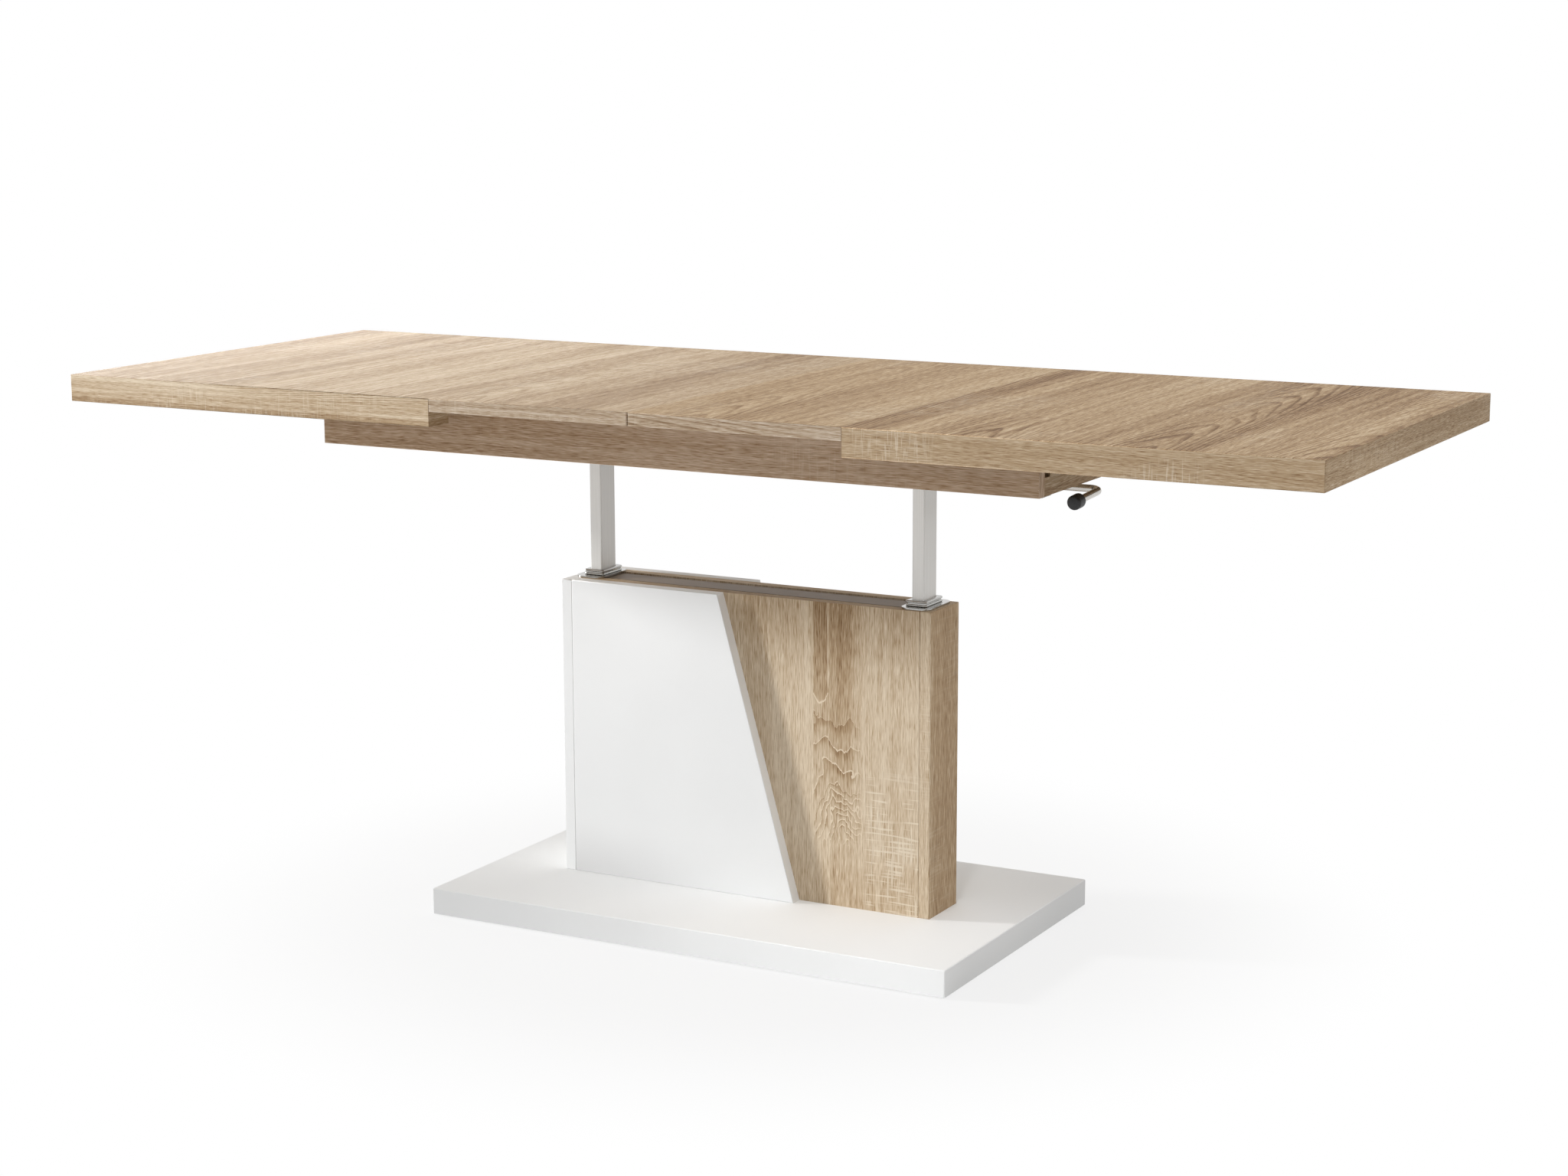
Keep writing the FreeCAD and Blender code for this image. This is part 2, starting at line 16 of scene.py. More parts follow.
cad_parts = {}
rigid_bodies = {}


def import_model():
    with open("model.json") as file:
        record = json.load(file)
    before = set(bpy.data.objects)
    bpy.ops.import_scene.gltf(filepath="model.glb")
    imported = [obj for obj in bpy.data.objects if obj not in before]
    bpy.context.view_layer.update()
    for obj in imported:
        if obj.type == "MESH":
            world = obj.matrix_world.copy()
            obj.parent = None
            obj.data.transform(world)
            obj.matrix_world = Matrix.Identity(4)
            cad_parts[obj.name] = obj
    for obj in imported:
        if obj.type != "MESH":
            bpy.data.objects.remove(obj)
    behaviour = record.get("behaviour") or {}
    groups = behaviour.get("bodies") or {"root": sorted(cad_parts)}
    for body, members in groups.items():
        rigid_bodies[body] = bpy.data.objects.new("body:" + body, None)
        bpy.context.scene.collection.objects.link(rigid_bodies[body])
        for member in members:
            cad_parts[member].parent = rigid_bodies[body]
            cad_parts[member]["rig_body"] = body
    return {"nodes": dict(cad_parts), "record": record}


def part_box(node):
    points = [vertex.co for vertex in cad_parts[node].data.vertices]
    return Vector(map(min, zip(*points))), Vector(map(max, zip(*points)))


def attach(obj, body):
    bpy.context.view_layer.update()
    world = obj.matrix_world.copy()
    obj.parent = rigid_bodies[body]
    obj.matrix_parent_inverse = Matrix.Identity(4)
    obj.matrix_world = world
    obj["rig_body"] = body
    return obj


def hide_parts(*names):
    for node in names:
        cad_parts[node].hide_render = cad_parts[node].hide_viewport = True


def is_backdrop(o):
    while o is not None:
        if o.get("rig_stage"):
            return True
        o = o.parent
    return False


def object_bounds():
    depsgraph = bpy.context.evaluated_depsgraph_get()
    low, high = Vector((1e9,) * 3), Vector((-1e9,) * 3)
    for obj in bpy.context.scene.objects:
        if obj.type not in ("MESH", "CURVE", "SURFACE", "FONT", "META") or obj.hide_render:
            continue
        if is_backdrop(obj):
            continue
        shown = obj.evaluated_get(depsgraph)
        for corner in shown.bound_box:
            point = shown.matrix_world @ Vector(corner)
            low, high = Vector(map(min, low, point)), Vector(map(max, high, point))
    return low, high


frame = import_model()
cad_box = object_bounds()
nodes = frame["nodes"]
scene = bpy.context.scene
scene.view_settings.view_transform = "Standard"


def add_object(name, data):
    """A new object in the scene."""
    made = bpy.data.objects.new(name, data)
    scene.collection.objects.link(made)
    return made


# %% [markdown]
# ## Camera
# The photograph was taken from the front right, a little above the table top, with a long lens.
# The camera could be placed by eye, but a table has many straight corners at known places.
# A fit to those corners gave the place, the turn and the lens below, with no lens shift at all.

# %% Set the camera
camera_place = Vector((1.9086, -3.4734, 1.2090))
camera_turn = math.radians(28.302)
camera_tilt = math.radians(90.0 - 10.768)
camera_roll = math.radians(-0.155)

lens = bpy.data.cameras.new("view_camera")
lens.sensor_width = 36.0
lens.lens = 68.094
camera = add_object("view_camera", lens)
camera.matrix_world = (
    Matrix.Translation(camera_place)
    @ Matrix.Rotation(camera_turn, 4, "Z")
    @ Matrix.Rotation(camera_tilt, 4, "X")
    @ Matrix.Rotation(camera_roll, 4, "Z")
)
scene.camera = camera
print("camera at", tuple(round(c, 3) for c in camera_place))

# %% [markdown]
# ## A short way to write nodes
# Every finish below is a small tree of shader nodes. Adding each node and each link by hand is long.
# These helpers add a node, set its options, and fill each input from a number or another node's socket.


# %% Node helpers
def add_node(tree, kind, inputs=None, **options):
    """Adds one node; inputs maps a socket's name or number to a value or to another socket."""
    node = tree.nodes.new(kind)
    for option, value in options.items():
        setattr(node, option, value)
    for key, value in (inputs or {}).items():
        if isinstance(value, bpy.types.NodeSocket):
            tree.links.new(value, node.inputs[key])
        else:
            node.inputs[key].default_value = value
    return node


def maths(tree, operation, *values):
    """The result of one Math node."""
    return add_node(tree, "ShaderNodeMath", dict(enumerate(values)), operation=operation).outputs[0]


def times(tree, first, second):
    """The product of two values."""
    return maths(tree, "MULTIPLY", first, second)


def fade(tree, value, low, high, to_low=0.0, to_high=1.0):
    """Goes smoothly from to_low to to_high while the value goes from low to high."""
    inputs = {"Value": value, "From Min": low, "From Max": high, "To Min": to_low, "To Max": to_high}
    node = add_node(tree, "ShaderNodeMapRange", inputs, interpolation_type="SMOOTHSTEP")
    return node.outputs["Result"]


def noise(tree, vector, scale, detail=2, roughness=0.5, distortion=0, shift=(0, 0, 0)):
    """Noise in a space that is stretched by scale, so that it can run along a grain."""
    inputs = {"Vector": vector, "Scale": scale, "Location": shift}
    placed = add_node(tree, "ShaderNodeMapping", inputs).outputs["Vector"]
    inputs = {"Vector": placed, "Scale": 1, "Detail": detail}
    inputs.update(Roughness=roughness, Distortion=distortion)
    return add_node(tree, "ShaderNodeTexNoise", inputs).outputs["Fac"]


def mix_colour(tree, factor, first, second, blend="MIX"):
    """One colour laid over another by a factor."""
    inputs = {0: factor, 6: first, 7: second}
    return add_node(tree, "ShaderNodeMix", inputs, data_type="RGBA", blend_type=blend).outputs[2]


def colour_ramp(tree, value, stops):
    """A colour picked along a row of (position, colour) stops."""
    node = add_node(tree, "ShaderNodeValToRGB", {"Fac": value})
    elements = node.color_ramp.elements
    elements.remove(elements[-1])
    elements[0].position, elements[0].color = stops[0]
    for position, colour in stops[1:]:
        elements.new(position).color = colour
    return node.outputs["Color"]


def paint(red, green, blue):
    """A colour written as on a screen, 0 to 255, turned into the linear light that shaders use."""
    linear = []
    for value in (red, green, blue):
        share = value / 255.0
        linear.append(share / 12.92 if share <= 0.04045 else ((share + 0.055) / 1.055) ** 2.4)
    return (*linear, 1.0)


def new_finish(name):
    """An empty material, and its tree of nodes."""
    material = bpy.data.materials.new(name)
    material.use_nodes = True
    material.node_tree.nodes.clear()
    return material, material.node_tree


def surface(tree, colour, pattern, gloss, relief, depth, strength=0.5, specular=0.5, metallic=0.0):
    """Ends a material: a pattern moves its gloss, and a relief tilts it by a true depth in metres."""
    inputs = {"Height": relief, "Distance": depth, "Strength": strength}
    tilt = add_node(tree, "ShaderNodeBump", inputs)
    inputs = {
        "Base Color": colour,
        "Roughness": fade(tree, pattern, 0.3, 0.7, *gloss),
        "Normal": tilt.outputs["Normal"],
        "Specular IOR Level": specular,
        "Metallic": metallic,
    }
    shader = add_node(tree, "ShaderNodeBsdfPrincipled", inputs)
    inputs = {"Surface": shader.outputs["BSDF"]}
    add_node(tree, "ShaderNodeOutputMaterial", inputs, is_active_output=True)


print("node helpers ready")

# %% [markdown]
# ## Studio lamps
# A catalogue picture like this has one soft key light, low on the left.
# It rakes across the pedestal, so the proud white board throws a soft band of shade on the oak.
# Weak lamps act as small reflectors for the columns, the base's right end and the white front board.
# One key for all would bleach the left end of the base, so light linking, which names the pieces that
# a lamp lights, gives the base a weaker key of its own.
# A low strip beyond the left end mirrors in the left half of the top: a sheen that fades to the right.


# %% Studio lamps
def soft_lamp(name, place, target, size, power, beam=180.0, height=None):
    """A round area lamp, or an oblong one if it has a height, turned to a target."""
    data = bpy.data.lights.new(name, "AREA")
    data.shape = "RECTANGLE" if height else "DISK"
    data.size = size
    data.size_y = height or size
    data.energy = power
    data.spread = math.radians(beam)
    lamp = add_object(name, data)
    lamp.location = place
    aim = Vector(target) - Vector(place)
    lamp.rotation_euler = aim.to_track_quat("-Z", "Y").to_euler()
    return lamp


def link_light(lamp, state, *pieces):
    """INCLUDE lets a lamp light these pieces only, EXCLUDE all pieces but these."""
    group = bpy.data.collections.new(lamp.name + "_linking")
    for piece in pieces:
        group.objects.link(piece)
    for item in group.collection_objects:
        item.light_linking.link_state = state
    lamp.light_linking.receiver_collection = group


key_place = (-8.85, -3.07, 3.38)
key_target = (0.1, -0.04, 0.35)
key_power = 1060.0
base_share = 0.50
# Place, target, size, power, beam in degrees, height
lamp_rows = {
    "left_key": (key_place, key_target, 1.0, key_power),
    "base_key": (key_place, key_target, 1.0, key_power * base_share),
    "base_fill": ((1.0, -2.6, 1.3), (0.30, -0.2, 0.04), 0.4, 0.42, 24),
    "base_top_fill": ((0.25, -1.2, 2.0), (0.20, -0.15, 0.04), 0.4, 0.31, 30),
    "leaf_sheen": ((-1.35, 1.05, 0.82), (0.0, 1.05, 0.82), 2.6, 14, 180, 0.16),
    "right_fill": ((2.5, -0.5, 0.9), (0.06, -0.05, 0.25), 0.3, 0.10, 16),
    "board_fill": ((-0.2, -2.6, 0.75), (-0.06, -0.06, 0.50), 0.3, 0.036, 12),
    "column_fill": ((-1.0, -3.0, 0.9), (0.0, 0.0, 0.55), 0.4, 10),
}
lamps = {name: soft_lamp(name, *values) for name, values in lamp_rows.items()}
lamps["leaf_sheen"].visible_camera = False
link_light(lamps["column_fill"], "INCLUDE", nodes["left_column"], nodes["right_column"])
link_light(lamps["left_key"], "EXCLUDE", nodes["base_plate"])
for name in ("base_key", "base_fill", "base_top_fill"):
    link_light(lamps[name], "INCLUDE", nodes["base_plate"])
print("lamps:", sorted(lamps))

# %% [markdown]
# ## White room and floor
# The room is darker in front and on the right, so the front and right faces keep their own shades.
# More lamps could bleach the background, but they would bleach the table too.
# So the world and the floor only look white to the camera and in reflections, by the Light Path node.
# Near the table the floor still takes real light, and so it keeps the shadow.

# %% White room
room_light = 0.92
room_front = 0.40
room_right = 0.88
front_fade = (-0.9, 0.15)
right_fade = (0.3, 1.0)
plain_white = (1.0, 1.0, 1.0, 1.0)


def seen_directly(tree):
    """1 for camera, mirror and glass rays, 0 for the rays that carry light to the object."""
    path = add_node(tree, "ShaderNodeLightPath")
    seen = maths(tree, "MAXIMUM", path.outputs["Is Camera Ray"], path.outputs["Is Glossy Ray"])
    return maths(tree, "MAXIMUM", seen, path.outputs["Is Transmission Ray"])


world = bpy.data.worlds.new("white_room")
world.use_nodes = True
room = world.node_tree
room.nodes.clear()
towards = add_node(room, "ShaderNodeTexCoord").outputs["Generated"]
aim = add_node(room, "ShaderNodeSeparateXYZ", {"Vector": towards})
level = fade(room, aim.outputs["Y"], *front_fade, room_front, room_light)
level = times(room, level, fade(room, aim.outputs["X"], *right_fade, 1.0, room_right))
lighting = add_node(room, "ShaderNodeBackground", {"Color": plain_white, "Strength": level})
backdrop = add_node(room, "ShaderNodeBackground", {"Color": plain_white, "Strength": 1.0})
inputs = {0: seen_directly(room), 1: lighting.outputs[0], 2: backdrop.outputs[0]}
either = add_node(room, "ShaderNodeMixShader", inputs)
add_node(room, "ShaderNodeOutputWorld", {"Surface": either.outputs[0]})
scene.world = world
print("room light", room_front, "in front and", room_light, "behind")

# %% White floor
floor_half = 9.0
floor_grey = 0.64
shadow_reach = (0.42, 0.92)
shadow_share = 0.81

square = [(-1, -1), (1, -1), (1, 1), (-1, 1)]
floor_corners = [(x * floor_half, y * floor_half, 0.0) for x, y in square]
floor_mesh = bpy.data.meshes.new("floor")
floor_mesh.from_pydata(floor_corners, [], [(0, 1, 2, 3)])
floor = add_object("floor", floor_mesh)

floor_paint, ground = new_finish("white_floor")
spot = add_node(ground, "ShaderNodeTexCoord").outputs["Object"]
distance = add_node(ground, "ShaderNodeVectorMath", {0: spot}, operation="LENGTH").outputs["Value"]
glow = fade(ground, distance, *shadow_reach, shadow_share, 1.0)
matt = add_node(ground, "ShaderNodeBsdfDiffuse", {"Color": (floor_grey, floor_grey, floor_grey, 1.0)})
white = add_node(ground, "ShaderNodeEmission", {"Color": plain_white, "Strength": 1.0})
share = times(ground, seen_directly(ground), glow)
layered = add_node(ground, "ShaderNodeMixShader", {0: share, 1: matt.outputs[0], 2: white.outputs[0]})
add_node(ground, "ShaderNodeOutputMaterial", {"Surface": layered.outputs[0]})
floor_mesh.materials.append(floor_paint)
floor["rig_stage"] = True
print("floor", 2 * floor_half, "m wide")

# %% [markdown]
# ## Sawn oak decor
# The boards carry a printed oak paper, pressed with fine pores, and edging strips of the same print.
# An image could be wrapped on them, but a rule made of noise gives grain at true scale on every board.
# Each board gets a UV map called grain, in metres: the first number runs along the grain, the second
# across it. A noise's scale says how often it changes in a metre, along and across.
# The arches of flat-sawn boards are lines of a parabola that slides along each plank.
# Pale saw marks cross the grain in patches.

# %% Grain helpers
plank_width = 0.21
arch_bend = 1500.0
arch_pitch = 11.0


def weigh(tree, base, *terms):
    """A base value plus, for each term, its weight times its factor less an offset."""
    total = base
    for factor, offset, weight in terms:
        centred = maths(tree, "SUBTRACT", factor, offset)
        total = maths(tree, "MULTIPLY_ADD", centred, weight, total)
    return total


def planks(tree, across):
    """The lane across the planks, a plank's number, and a chance value that each plank keeps."""
    lane = maths(tree, "DIVIDE", across, plank_width)
    number = maths(tree, "FLOOR", lane)
    chance = add_node(tree, "ShaderNodeTexWhiteNoise", {"W": number}, noise_dimensions="1D")
    return lane, number, chance.outputs["Value"]


def cathedral_arches(tree, along, across, flat):
    """Dark ring lines in nested arches, in some planks only."""
    lane, plank, chance = planks(tree, across)
    off_middle = maths(tree, "SUBTRACT", maths(tree, "SUBTRACT", lane, plank), 0.5)
    off_middle = times(tree, off_middle, plank_width)
    squared = times(tree, off_middle, off_middle)
    wobble = noise(tree, flat, (2.6, 13, 1))
    rise = times(tree, along, arch_pitch)
    rise = maths(tree, "MULTIPLY_ADD", chance, 9.0, rise)
    arches = maths(tree, "MULTIPLY_ADD", squared, arch_bend, rise)
    arches = maths(tree, "MULTIPLY_ADD", wobble, 2.4, arches)
    ring = maths(tree, "FRACT", arches)
    dark_edge = times(tree, fade(tree, ring, 0.5, 0.88), fade(tree, ring, 1.0, 0.92))
    aside = maths(tree, "ABSOLUTE", off_middle)
    core = fade(tree, aside, plank_width * 0.48, plank_width * 0.2)
    here = fade(tree, noise(tree, flat, (1.3, 3, 1), detail=1), 0.42, 0.56)
    figure = times(tree, core, fade(tree, chance, 0.3, 0.42))
    return times(tree, dark_edge, times(tree, figure, here))


def saw_marks(tree, flat):
    """Pale fine scores across the grain, with a few along it."""
    across_lines = fade(tree, noise(tree, flat, (290, 15, 1), detail=1), 0.55, 0.64)
    along_lines = fade(tree, noise(tree, flat, (14, 260, 1), detail=1), 0.56, 0.65)
    return maths(tree, "MAXIMUM", across_lines, times(tree, along_lines, 0.8))


print("grain in planks of", plank_width, "m")

# %% [markdown]
# ## The figure on the front
# The front of the pedestal has a figure of its own: flames nested under a dark tongue of grain.
# It could be traced as a drawing, but real flames are rings cut at a slant, so one formula draws all.
# Places are in metres on the panel: along is the height, across runs to the right from the middle.

# %% Front figure
figure_tip = 0.306
figure_spread = 0.213
figure_foot = (0.118, 0.150)
figure_middle = 0.125
figure_lean = -0.25
lean_height = 0.228
left_slope = -1.7
right_width = 0.028
right_rise = 0.016
ring_rates = (30.0, 58.0)
tongue_tip = 0.318
tongue_middle = 0.116
tongue_sides = (0.0125, 0.0105)
tongue_bend = 95.0
rim_line = 0.1275
dark_left = (0.1050, 0.1065)
dark_right = (0.184, 0.156)


def hump(tree, value, middle, width):
    """A smooth bump, 1 in the middle and nothing beyond the width."""
    off = maths(tree, "ABSOLUTE", maths(tree, "SUBTRACT", value, middle))
    return fade(tree, off, width, 0.0)


def nested_flames(tree, along, across, flat):
    """Flames with a steep left side and a flat right one, closer together below."""
    curl = noise(tree, flat, (24, 42, 1), detail=1, distortion=0.4, shift=(0.3, 1.9, 0))
    fray = noise(tree, flat, (70, 150, 1))
    middle = weigh(tree, figure_middle, (along, lean_height, figure_lean))
    aside = maths(tree, "SUBTRACT", across, middle)
    left_leg = maths(tree, "MAXIMUM", times(tree, aside, left_slope), 0.0)
    right_leg = fade(tree, aside, 0.0, right_width, 0.0, right_rise)
    crest = maths(tree, "ADD", along, maths(tree, "ADD", left_leg, right_leg))
    crest = weigh(tree, crest, (curl, 0.5, 0.045), (fray, 0.5, 0.014))
    rings = weigh(tree, 0.0, (crest, figure_tip, -ring_rates[0]))
    closer = maths(tree, "MAXIMUM", maths(tree, "SUBTRACT", figure_spread, crest), 0.0)
    rings = maths(tree, "MULTIPLY_ADD", closer, ring_rates[1], rings)
    turn = maths(tree, "FRACT", rings)
    thin = fade(tree, crest, figure_spread, figure_spread - 0.013, 0.91, 0.72)
    line = fade(tree, turn, thin, 0.99)
    under = fade(tree, turn, 0.55, 0.0)
    below_tip = fade(tree, crest, figure_tip + 0.001, figure_tip - 0.001)
    here = times(tree, below_tip, fade(tree, along, *figure_foot))
    return times(tree, line, here), times(tree, under, here)


def dark_tongue(tree, along, across, flat):
    """A dark streak from the top down to a round tip; gives the streak and its pale rim."""
    fray = noise(tree, flat, (60, 120, 1))
    beside = maths(tree, "SUBTRACT", across, tongue_middle)
    curve = times(tree, times(tree, beside, beside), tongue_bend)
    height = maths(tree, "SUBTRACT", maths(tree, "SUBTRACT", along, tongue_tip), curve)
    height = weigh(tree, height, (fray, 0.5, 0.010))
    sides = fade(tree, maths(tree, "ABSOLUTE", beside), *tongue_sides)
    streak = times(tree, sides, fade(tree, height, 0.0, 0.004))
    tip_rim = times(tree, sides, hump(tree, height, -0.001, 0.0018))
    above_tip = fade(tree, height, 0.0, 0.02)
    side_rim = times(tree, hump(tree, across, rim_line, 0.0013), above_tip)
    return streak, maths(tree, "MULTIPLY_ADD", side_rim, 0.5, tip_rim)


def front_figure(tree, along, across, flat):
    """The darker plank of the pedestal's front; gives its shade and its pale lines."""
    left_edge = fade(tree, across, *dark_left)
    plank = times(tree, left_edge, fade(tree, across, *dark_right))
    line, under = nested_flames(tree, along, across, flat)
    streak, rim = dark_tongue(tree, along, across, flat)
    patches = noise(tree, flat, (16, 34, 1), detail=1, shift=(4, 2, 0))
    line = times(tree, line, fade(tree, patches, 0.36, 0.56, 0.4, 1.0))
    high = fade(tree, along, 0.10, 0.32, 0.15, 1.0)
    shade = weigh(tree, high, (under, 0, 1.2), (streak, 0, 0.6))
    pale = maths(tree, "MAXIMUM", line, rim)
    return times(tree, shade, plank), times(tree, pale, plank)


print("flames up to", figure_tip, "m")

# %% [markdown]
# ## The oak print
# Broad bands, veins, fine fibres and short pores are one noise, stretched by different amounts.
# Their weighted sum is a tone, and a colour ramp turns the tone into brown or straw.
# Lightness, contrast and tint differ from board to board, as sheets of decor paper do; the top's left
# boards are lighter and cooler, partly print and partly a painted sheen.

# %% Oak material
oak_stops = [
    (0.00, paint(108, 80, 54)),
    (0.25, paint(146, 118, 87)),
    (0.50, paint(179, 154, 123)),
    (0.75, paint(205, 185, 158)),
    (1.00, paint(226, 210, 186)),
]
saw_tint = paint(236, 225, 206)
saw_top = (0.25, 0.20)
saw_left = (0.176, 0.195)
top_print_and_painted_shadow = (0.33, 0.45)
front_painted_foot_shade = (0.13, 0.08)
oak_gloss = (0.62, 0.50)
oak_specular = 0.07
pore_depth = 0.00012


def sawn_oak(name, lightness, contrast=1.0, marked=0.2, is_front=False, tint=None):
    """One oak print; marked is the strength of its saw marks, is_front adds the figure and painted
    shade at its top and foot.
    """
    material, tree = new_finish(name)
    flat = add_node(tree, "ShaderNodeUVMap", uv_map="grain").outputs["UV"]
    split = add_node(tree, "ShaderNodeSeparateXYZ", {"Vector": flat})
    along, across = split.outputs["X"], split.outputs["Y"]
    sway = noise(tree, flat, (1.9, 8, 1))
    ripple = noise(tree, flat, (13, 45, 1), detail=1)
    bent = weigh(tree, across, (sway, 0.5, 0.022), (ripple, 0.5, 0.0022))
    grain = add_node(tree, "ShaderNodeCombineXYZ", {"X": along, "Y": bent}).outputs["Vector"]
    bands = noise(tree, grain, (0.5, 15, 1), detail=3, roughness=0.55)
    veins = noise(tree, grain, (2.2, 120, 1))
    fibre = noise(tree, grain, (15, 520, 1), roughness=0.6)
    dashes = noise(tree, grain, (55, 850, 1), detail=1)
    pores = fade(tree, dashes, 0.54, 0.68)
    ticks = fade(tree, dashes, 0.46, 0.32)
    rings = cathedral_arches(tree, along, bent, flat)
    marks = saw_marks(tree, flat)
    tone = weigh(
        tree, lightness,
        (bands, 0.5, 0.85 * contrast), (veins, 0.5, 0.55 * contrast),
        (rings, 0.05, -0.27 * contrast),
        (fibre, 0.5, 0.60), (pores, 0.15, -0.24), (ticks, 0.15, 0.20),
    )
    if not is_front:
        plank_tone = planks(tree, across)[2]
        tone = weigh(tree, tone, (plank_tone, 0.5, 0.20 * contrast))
        patch = fade(tree, noise(tree, flat, (2.6, 4.2, 1), detail=1), 0.53, 0.64)
    else:
        shade, line = front_figure(tree, along, across, flat)
        # The front is darker at its top, partly print and partly a painted shadow of the table top, and
        # at its foot a painted shade.
        upper = fade(tree, along, *top_print_and_painted_shadow)
        lower = fade(tree, along, *front_painted_foot_shade)
        tone = weigh(
            tree, tone,
            (shade, 0.2, -0.20), (line, 0, 1.05), (upper, 0, -0.18), (lower, 0, -0.09),
        )
        low = times(tree, fade(tree, along, *saw_top), fade(tree, across, *saw_left))
        clusters = fade(tree, noise(tree, flat, (17, 24, 1), detail=1), 0.36, 0.50)
        patch = times(tree, low, clusters)
    colour = colour_ramp(tree, tone, oak_stops)
    if tint:
        colour = mix_colour(tree, 1.0, colour, tint, "MULTIPLY")
    score = times(tree, times(tree, marks, patch), marked)
    colour = mix_colour(tree, score, colour, saw_tint)
    relief = weigh(tree, 0, (fibre, 0.5, 0.6), (pores, 0, -0.5))
    surface(tree, colour, fibre, oak_gloss, relief, pore_depth, 0.6, oak_specular)
    return material


print("oak in", len(oak_stops), "colours")

# %% Oak prints
oak_decor = sawn_oak("oak_decor", 0.54, contrast=0.5, marked=0.1)
oak_edging = sawn_oak("oak_edging", 0.455)
oak_apron = sawn_oak("oak_apron", 0.64, contrast=0.8, tint=(1.0, 0.945, 0.97, 1.0))
oak_pale = sawn_oak("oak_pale", 0.55, contrast=1.4)
oak_sawn = sawn_oak("oak_sawn", 0.55, contrast=0.7, marked=0.33)
# The right end is a darker copy of the decor print: painted shade, as that end faces away from the key.
oak_end_painted_shade = sawn_oak("oak_end_painted_shade", 0.49, contrast=0.5, marked=0.1)
oak_light = sawn_oak("oak_light", 0.78, contrast=0.7)
oak_front = sawn_oak("oak_front", 0.76, contrast=0.85, marked=0.6, is_front=True)
# The left boards are lighter and cooler: partly print, partly a painted sheen that fades to the right.
top_tones = {"left_leaf": 0.50, "left_insert": 0.46, "right_insert": 0.45, "right_leaf": 0.37}
sheen_cool_tint = (0.98, 0.99, 1.0, 1.0)
warm = (1.0, 0.98, 0.93, 1.0)
oak_top = {}
for board, tone in top_tones.items():
    cast = warm if board.startswith("right") else sheen_cool_tint
    contrast = 0.75 if board.endswith("insert") else 1.1
    oak_top[board] = sawn_oak("oak_" + board, tone, contrast, tint=cast)
greyer = (1.0, 1.05, 1.18, 1.0)
insert_edging = {
    "left": sawn_oak("oak_left_insert_edging", 0.70, tint=greyer),
    "right": sawn_oak("oak_right_insert_edging", 0.56, tint=greyer),
}
print("prints:", [m.name for m in bpy.data.materials if m.name.startswith("oak_")])

# %% [markdown]
# ## White satin lacquer
# The base, the sloped claddings and the left end are lacquered white.
# One flat white would look like paper, so a very fine orange peel breaks the reflections.
# A slow cloud of noise moves the white and its gloss by a hair, as sprayed boards do.
# The base is duller, and shows no reflection of the upright boards.
# The sloped boards are a little greyer at the left of their foot: a painted soft shade where they stand
# on the base.

# %% Lacquer material
lacquer_whites = [(0.35, paint(236, 237, 237)), (0.65, paint(240, 241, 241))]
painted_shade_height = (0.12, 0.03)
painted_shade_width = (0.06, -0.28)
painted_shade_grey = paint(215, 215, 215)
peel_depth = 0.00003
satin_gloss = (0.36, 0.44)
matt_gloss = (0.60, 0.68)


def satin_lacquer(name, gloss, specular, has_painted_foot_shade=False):
    """White with a faint cloud in it, and a painted shade that greys its foot if asked."""
    material, tree = new_finish(name)
    place = add_node(tree, "ShaderNodeTexCoord").outputs["Object"]
    cloud = noise(tree, place, (4, 4, 4))
    peel = noise(tree, place, (420, 420, 420))
    white = colour_ramp(tree, cloud, lacquer_whites)
    # Painted shade: the white greys near the foot, most towards the left.
    if has_painted_foot_shade:
        split = add_node(tree, "ShaderNodeSeparateXYZ", {"Vector": place})
        foot = fade(tree, split.outputs["Z"], *painted_shade_height)
        left = fade(tree, split.outputs["X"], *painted_shade_width)
        white = mix_colour(tree, times(tree, foot, left), white, painted_shade_grey)
    surface(tree, white, cloud, gloss, peel, peel_depth, specular=specular)
    return material


white_lacquer = satin_lacquer("white_lacquer", satin_gloss, 0.5)
board_white_painted_shade = satin_lacquer("board_white_painted_shade", satin_gloss, 0.5, has_painted_foot_shade=True)
matt_white = satin_lacquer("matt_white", matt_gloss, 0.06)
print("lacquer finishes:", white_lacquer.name, board_white_painted_shade.name, matt_white.name)

# %% [markdown]
# ## Metals and mouldings
# The columns are satin anodised tube, drawn lengthwise, so their fine lines run up and down.
# Plates and brackets have a grey coat with a soft grain, the slides are zinc with pale blotches.
# The tie bar between the columns is steel with a brown colour, a painted reflection of the oak around
# it; the collars and their plates are bright.
# One function makes all metals: only the colour, the gloss and the direction of the lines differ.

# %% Metal and plastic materials
upright_lines = (900, 900, 7)
lying_lines = (60, 700, 700)
blotches = (70, 110, 110)
fine_dots = (500, 500, 500)
mould_dots = (900, 900, 900)
mould_depth = 0.00004


def drawn_metal(name, dark, light, gloss, line_scale, depth, metallic=1.0, specular=0.5):
    """Metal between two tones, with fine lines or dots in it."""
    material, tree = new_finish(name)
    place = add_node(tree, "ShaderNodeTexCoord").outputs["Object"]
    lines = noise(tree, place, line_scale, detail=3, roughness=0.6)
    colour = colour_ramp(tree, lines, [(0.3, paint(*dark)), (0.7, paint(*light))])
    surface(tree, colour, lines, gloss, lines, depth, 0.5, specular, metallic)
    return material


def moulded_plastic(name, dark, light, gloss):
    """Plastic between two tones, with an even dull texture."""
    material, tree = new_finish(name)
    place = add_node(tree, "ShaderNodeTexCoord").outputs["Object"]
    dots = noise(tree, place, mould_dots)
    colour = colour_ramp(tree, dots, [(0.35, paint(*dark)), (0.65, paint(*light))])
    surface(tree, colour, dots, gloss, dots, mould_depth, 0.6)
    return material


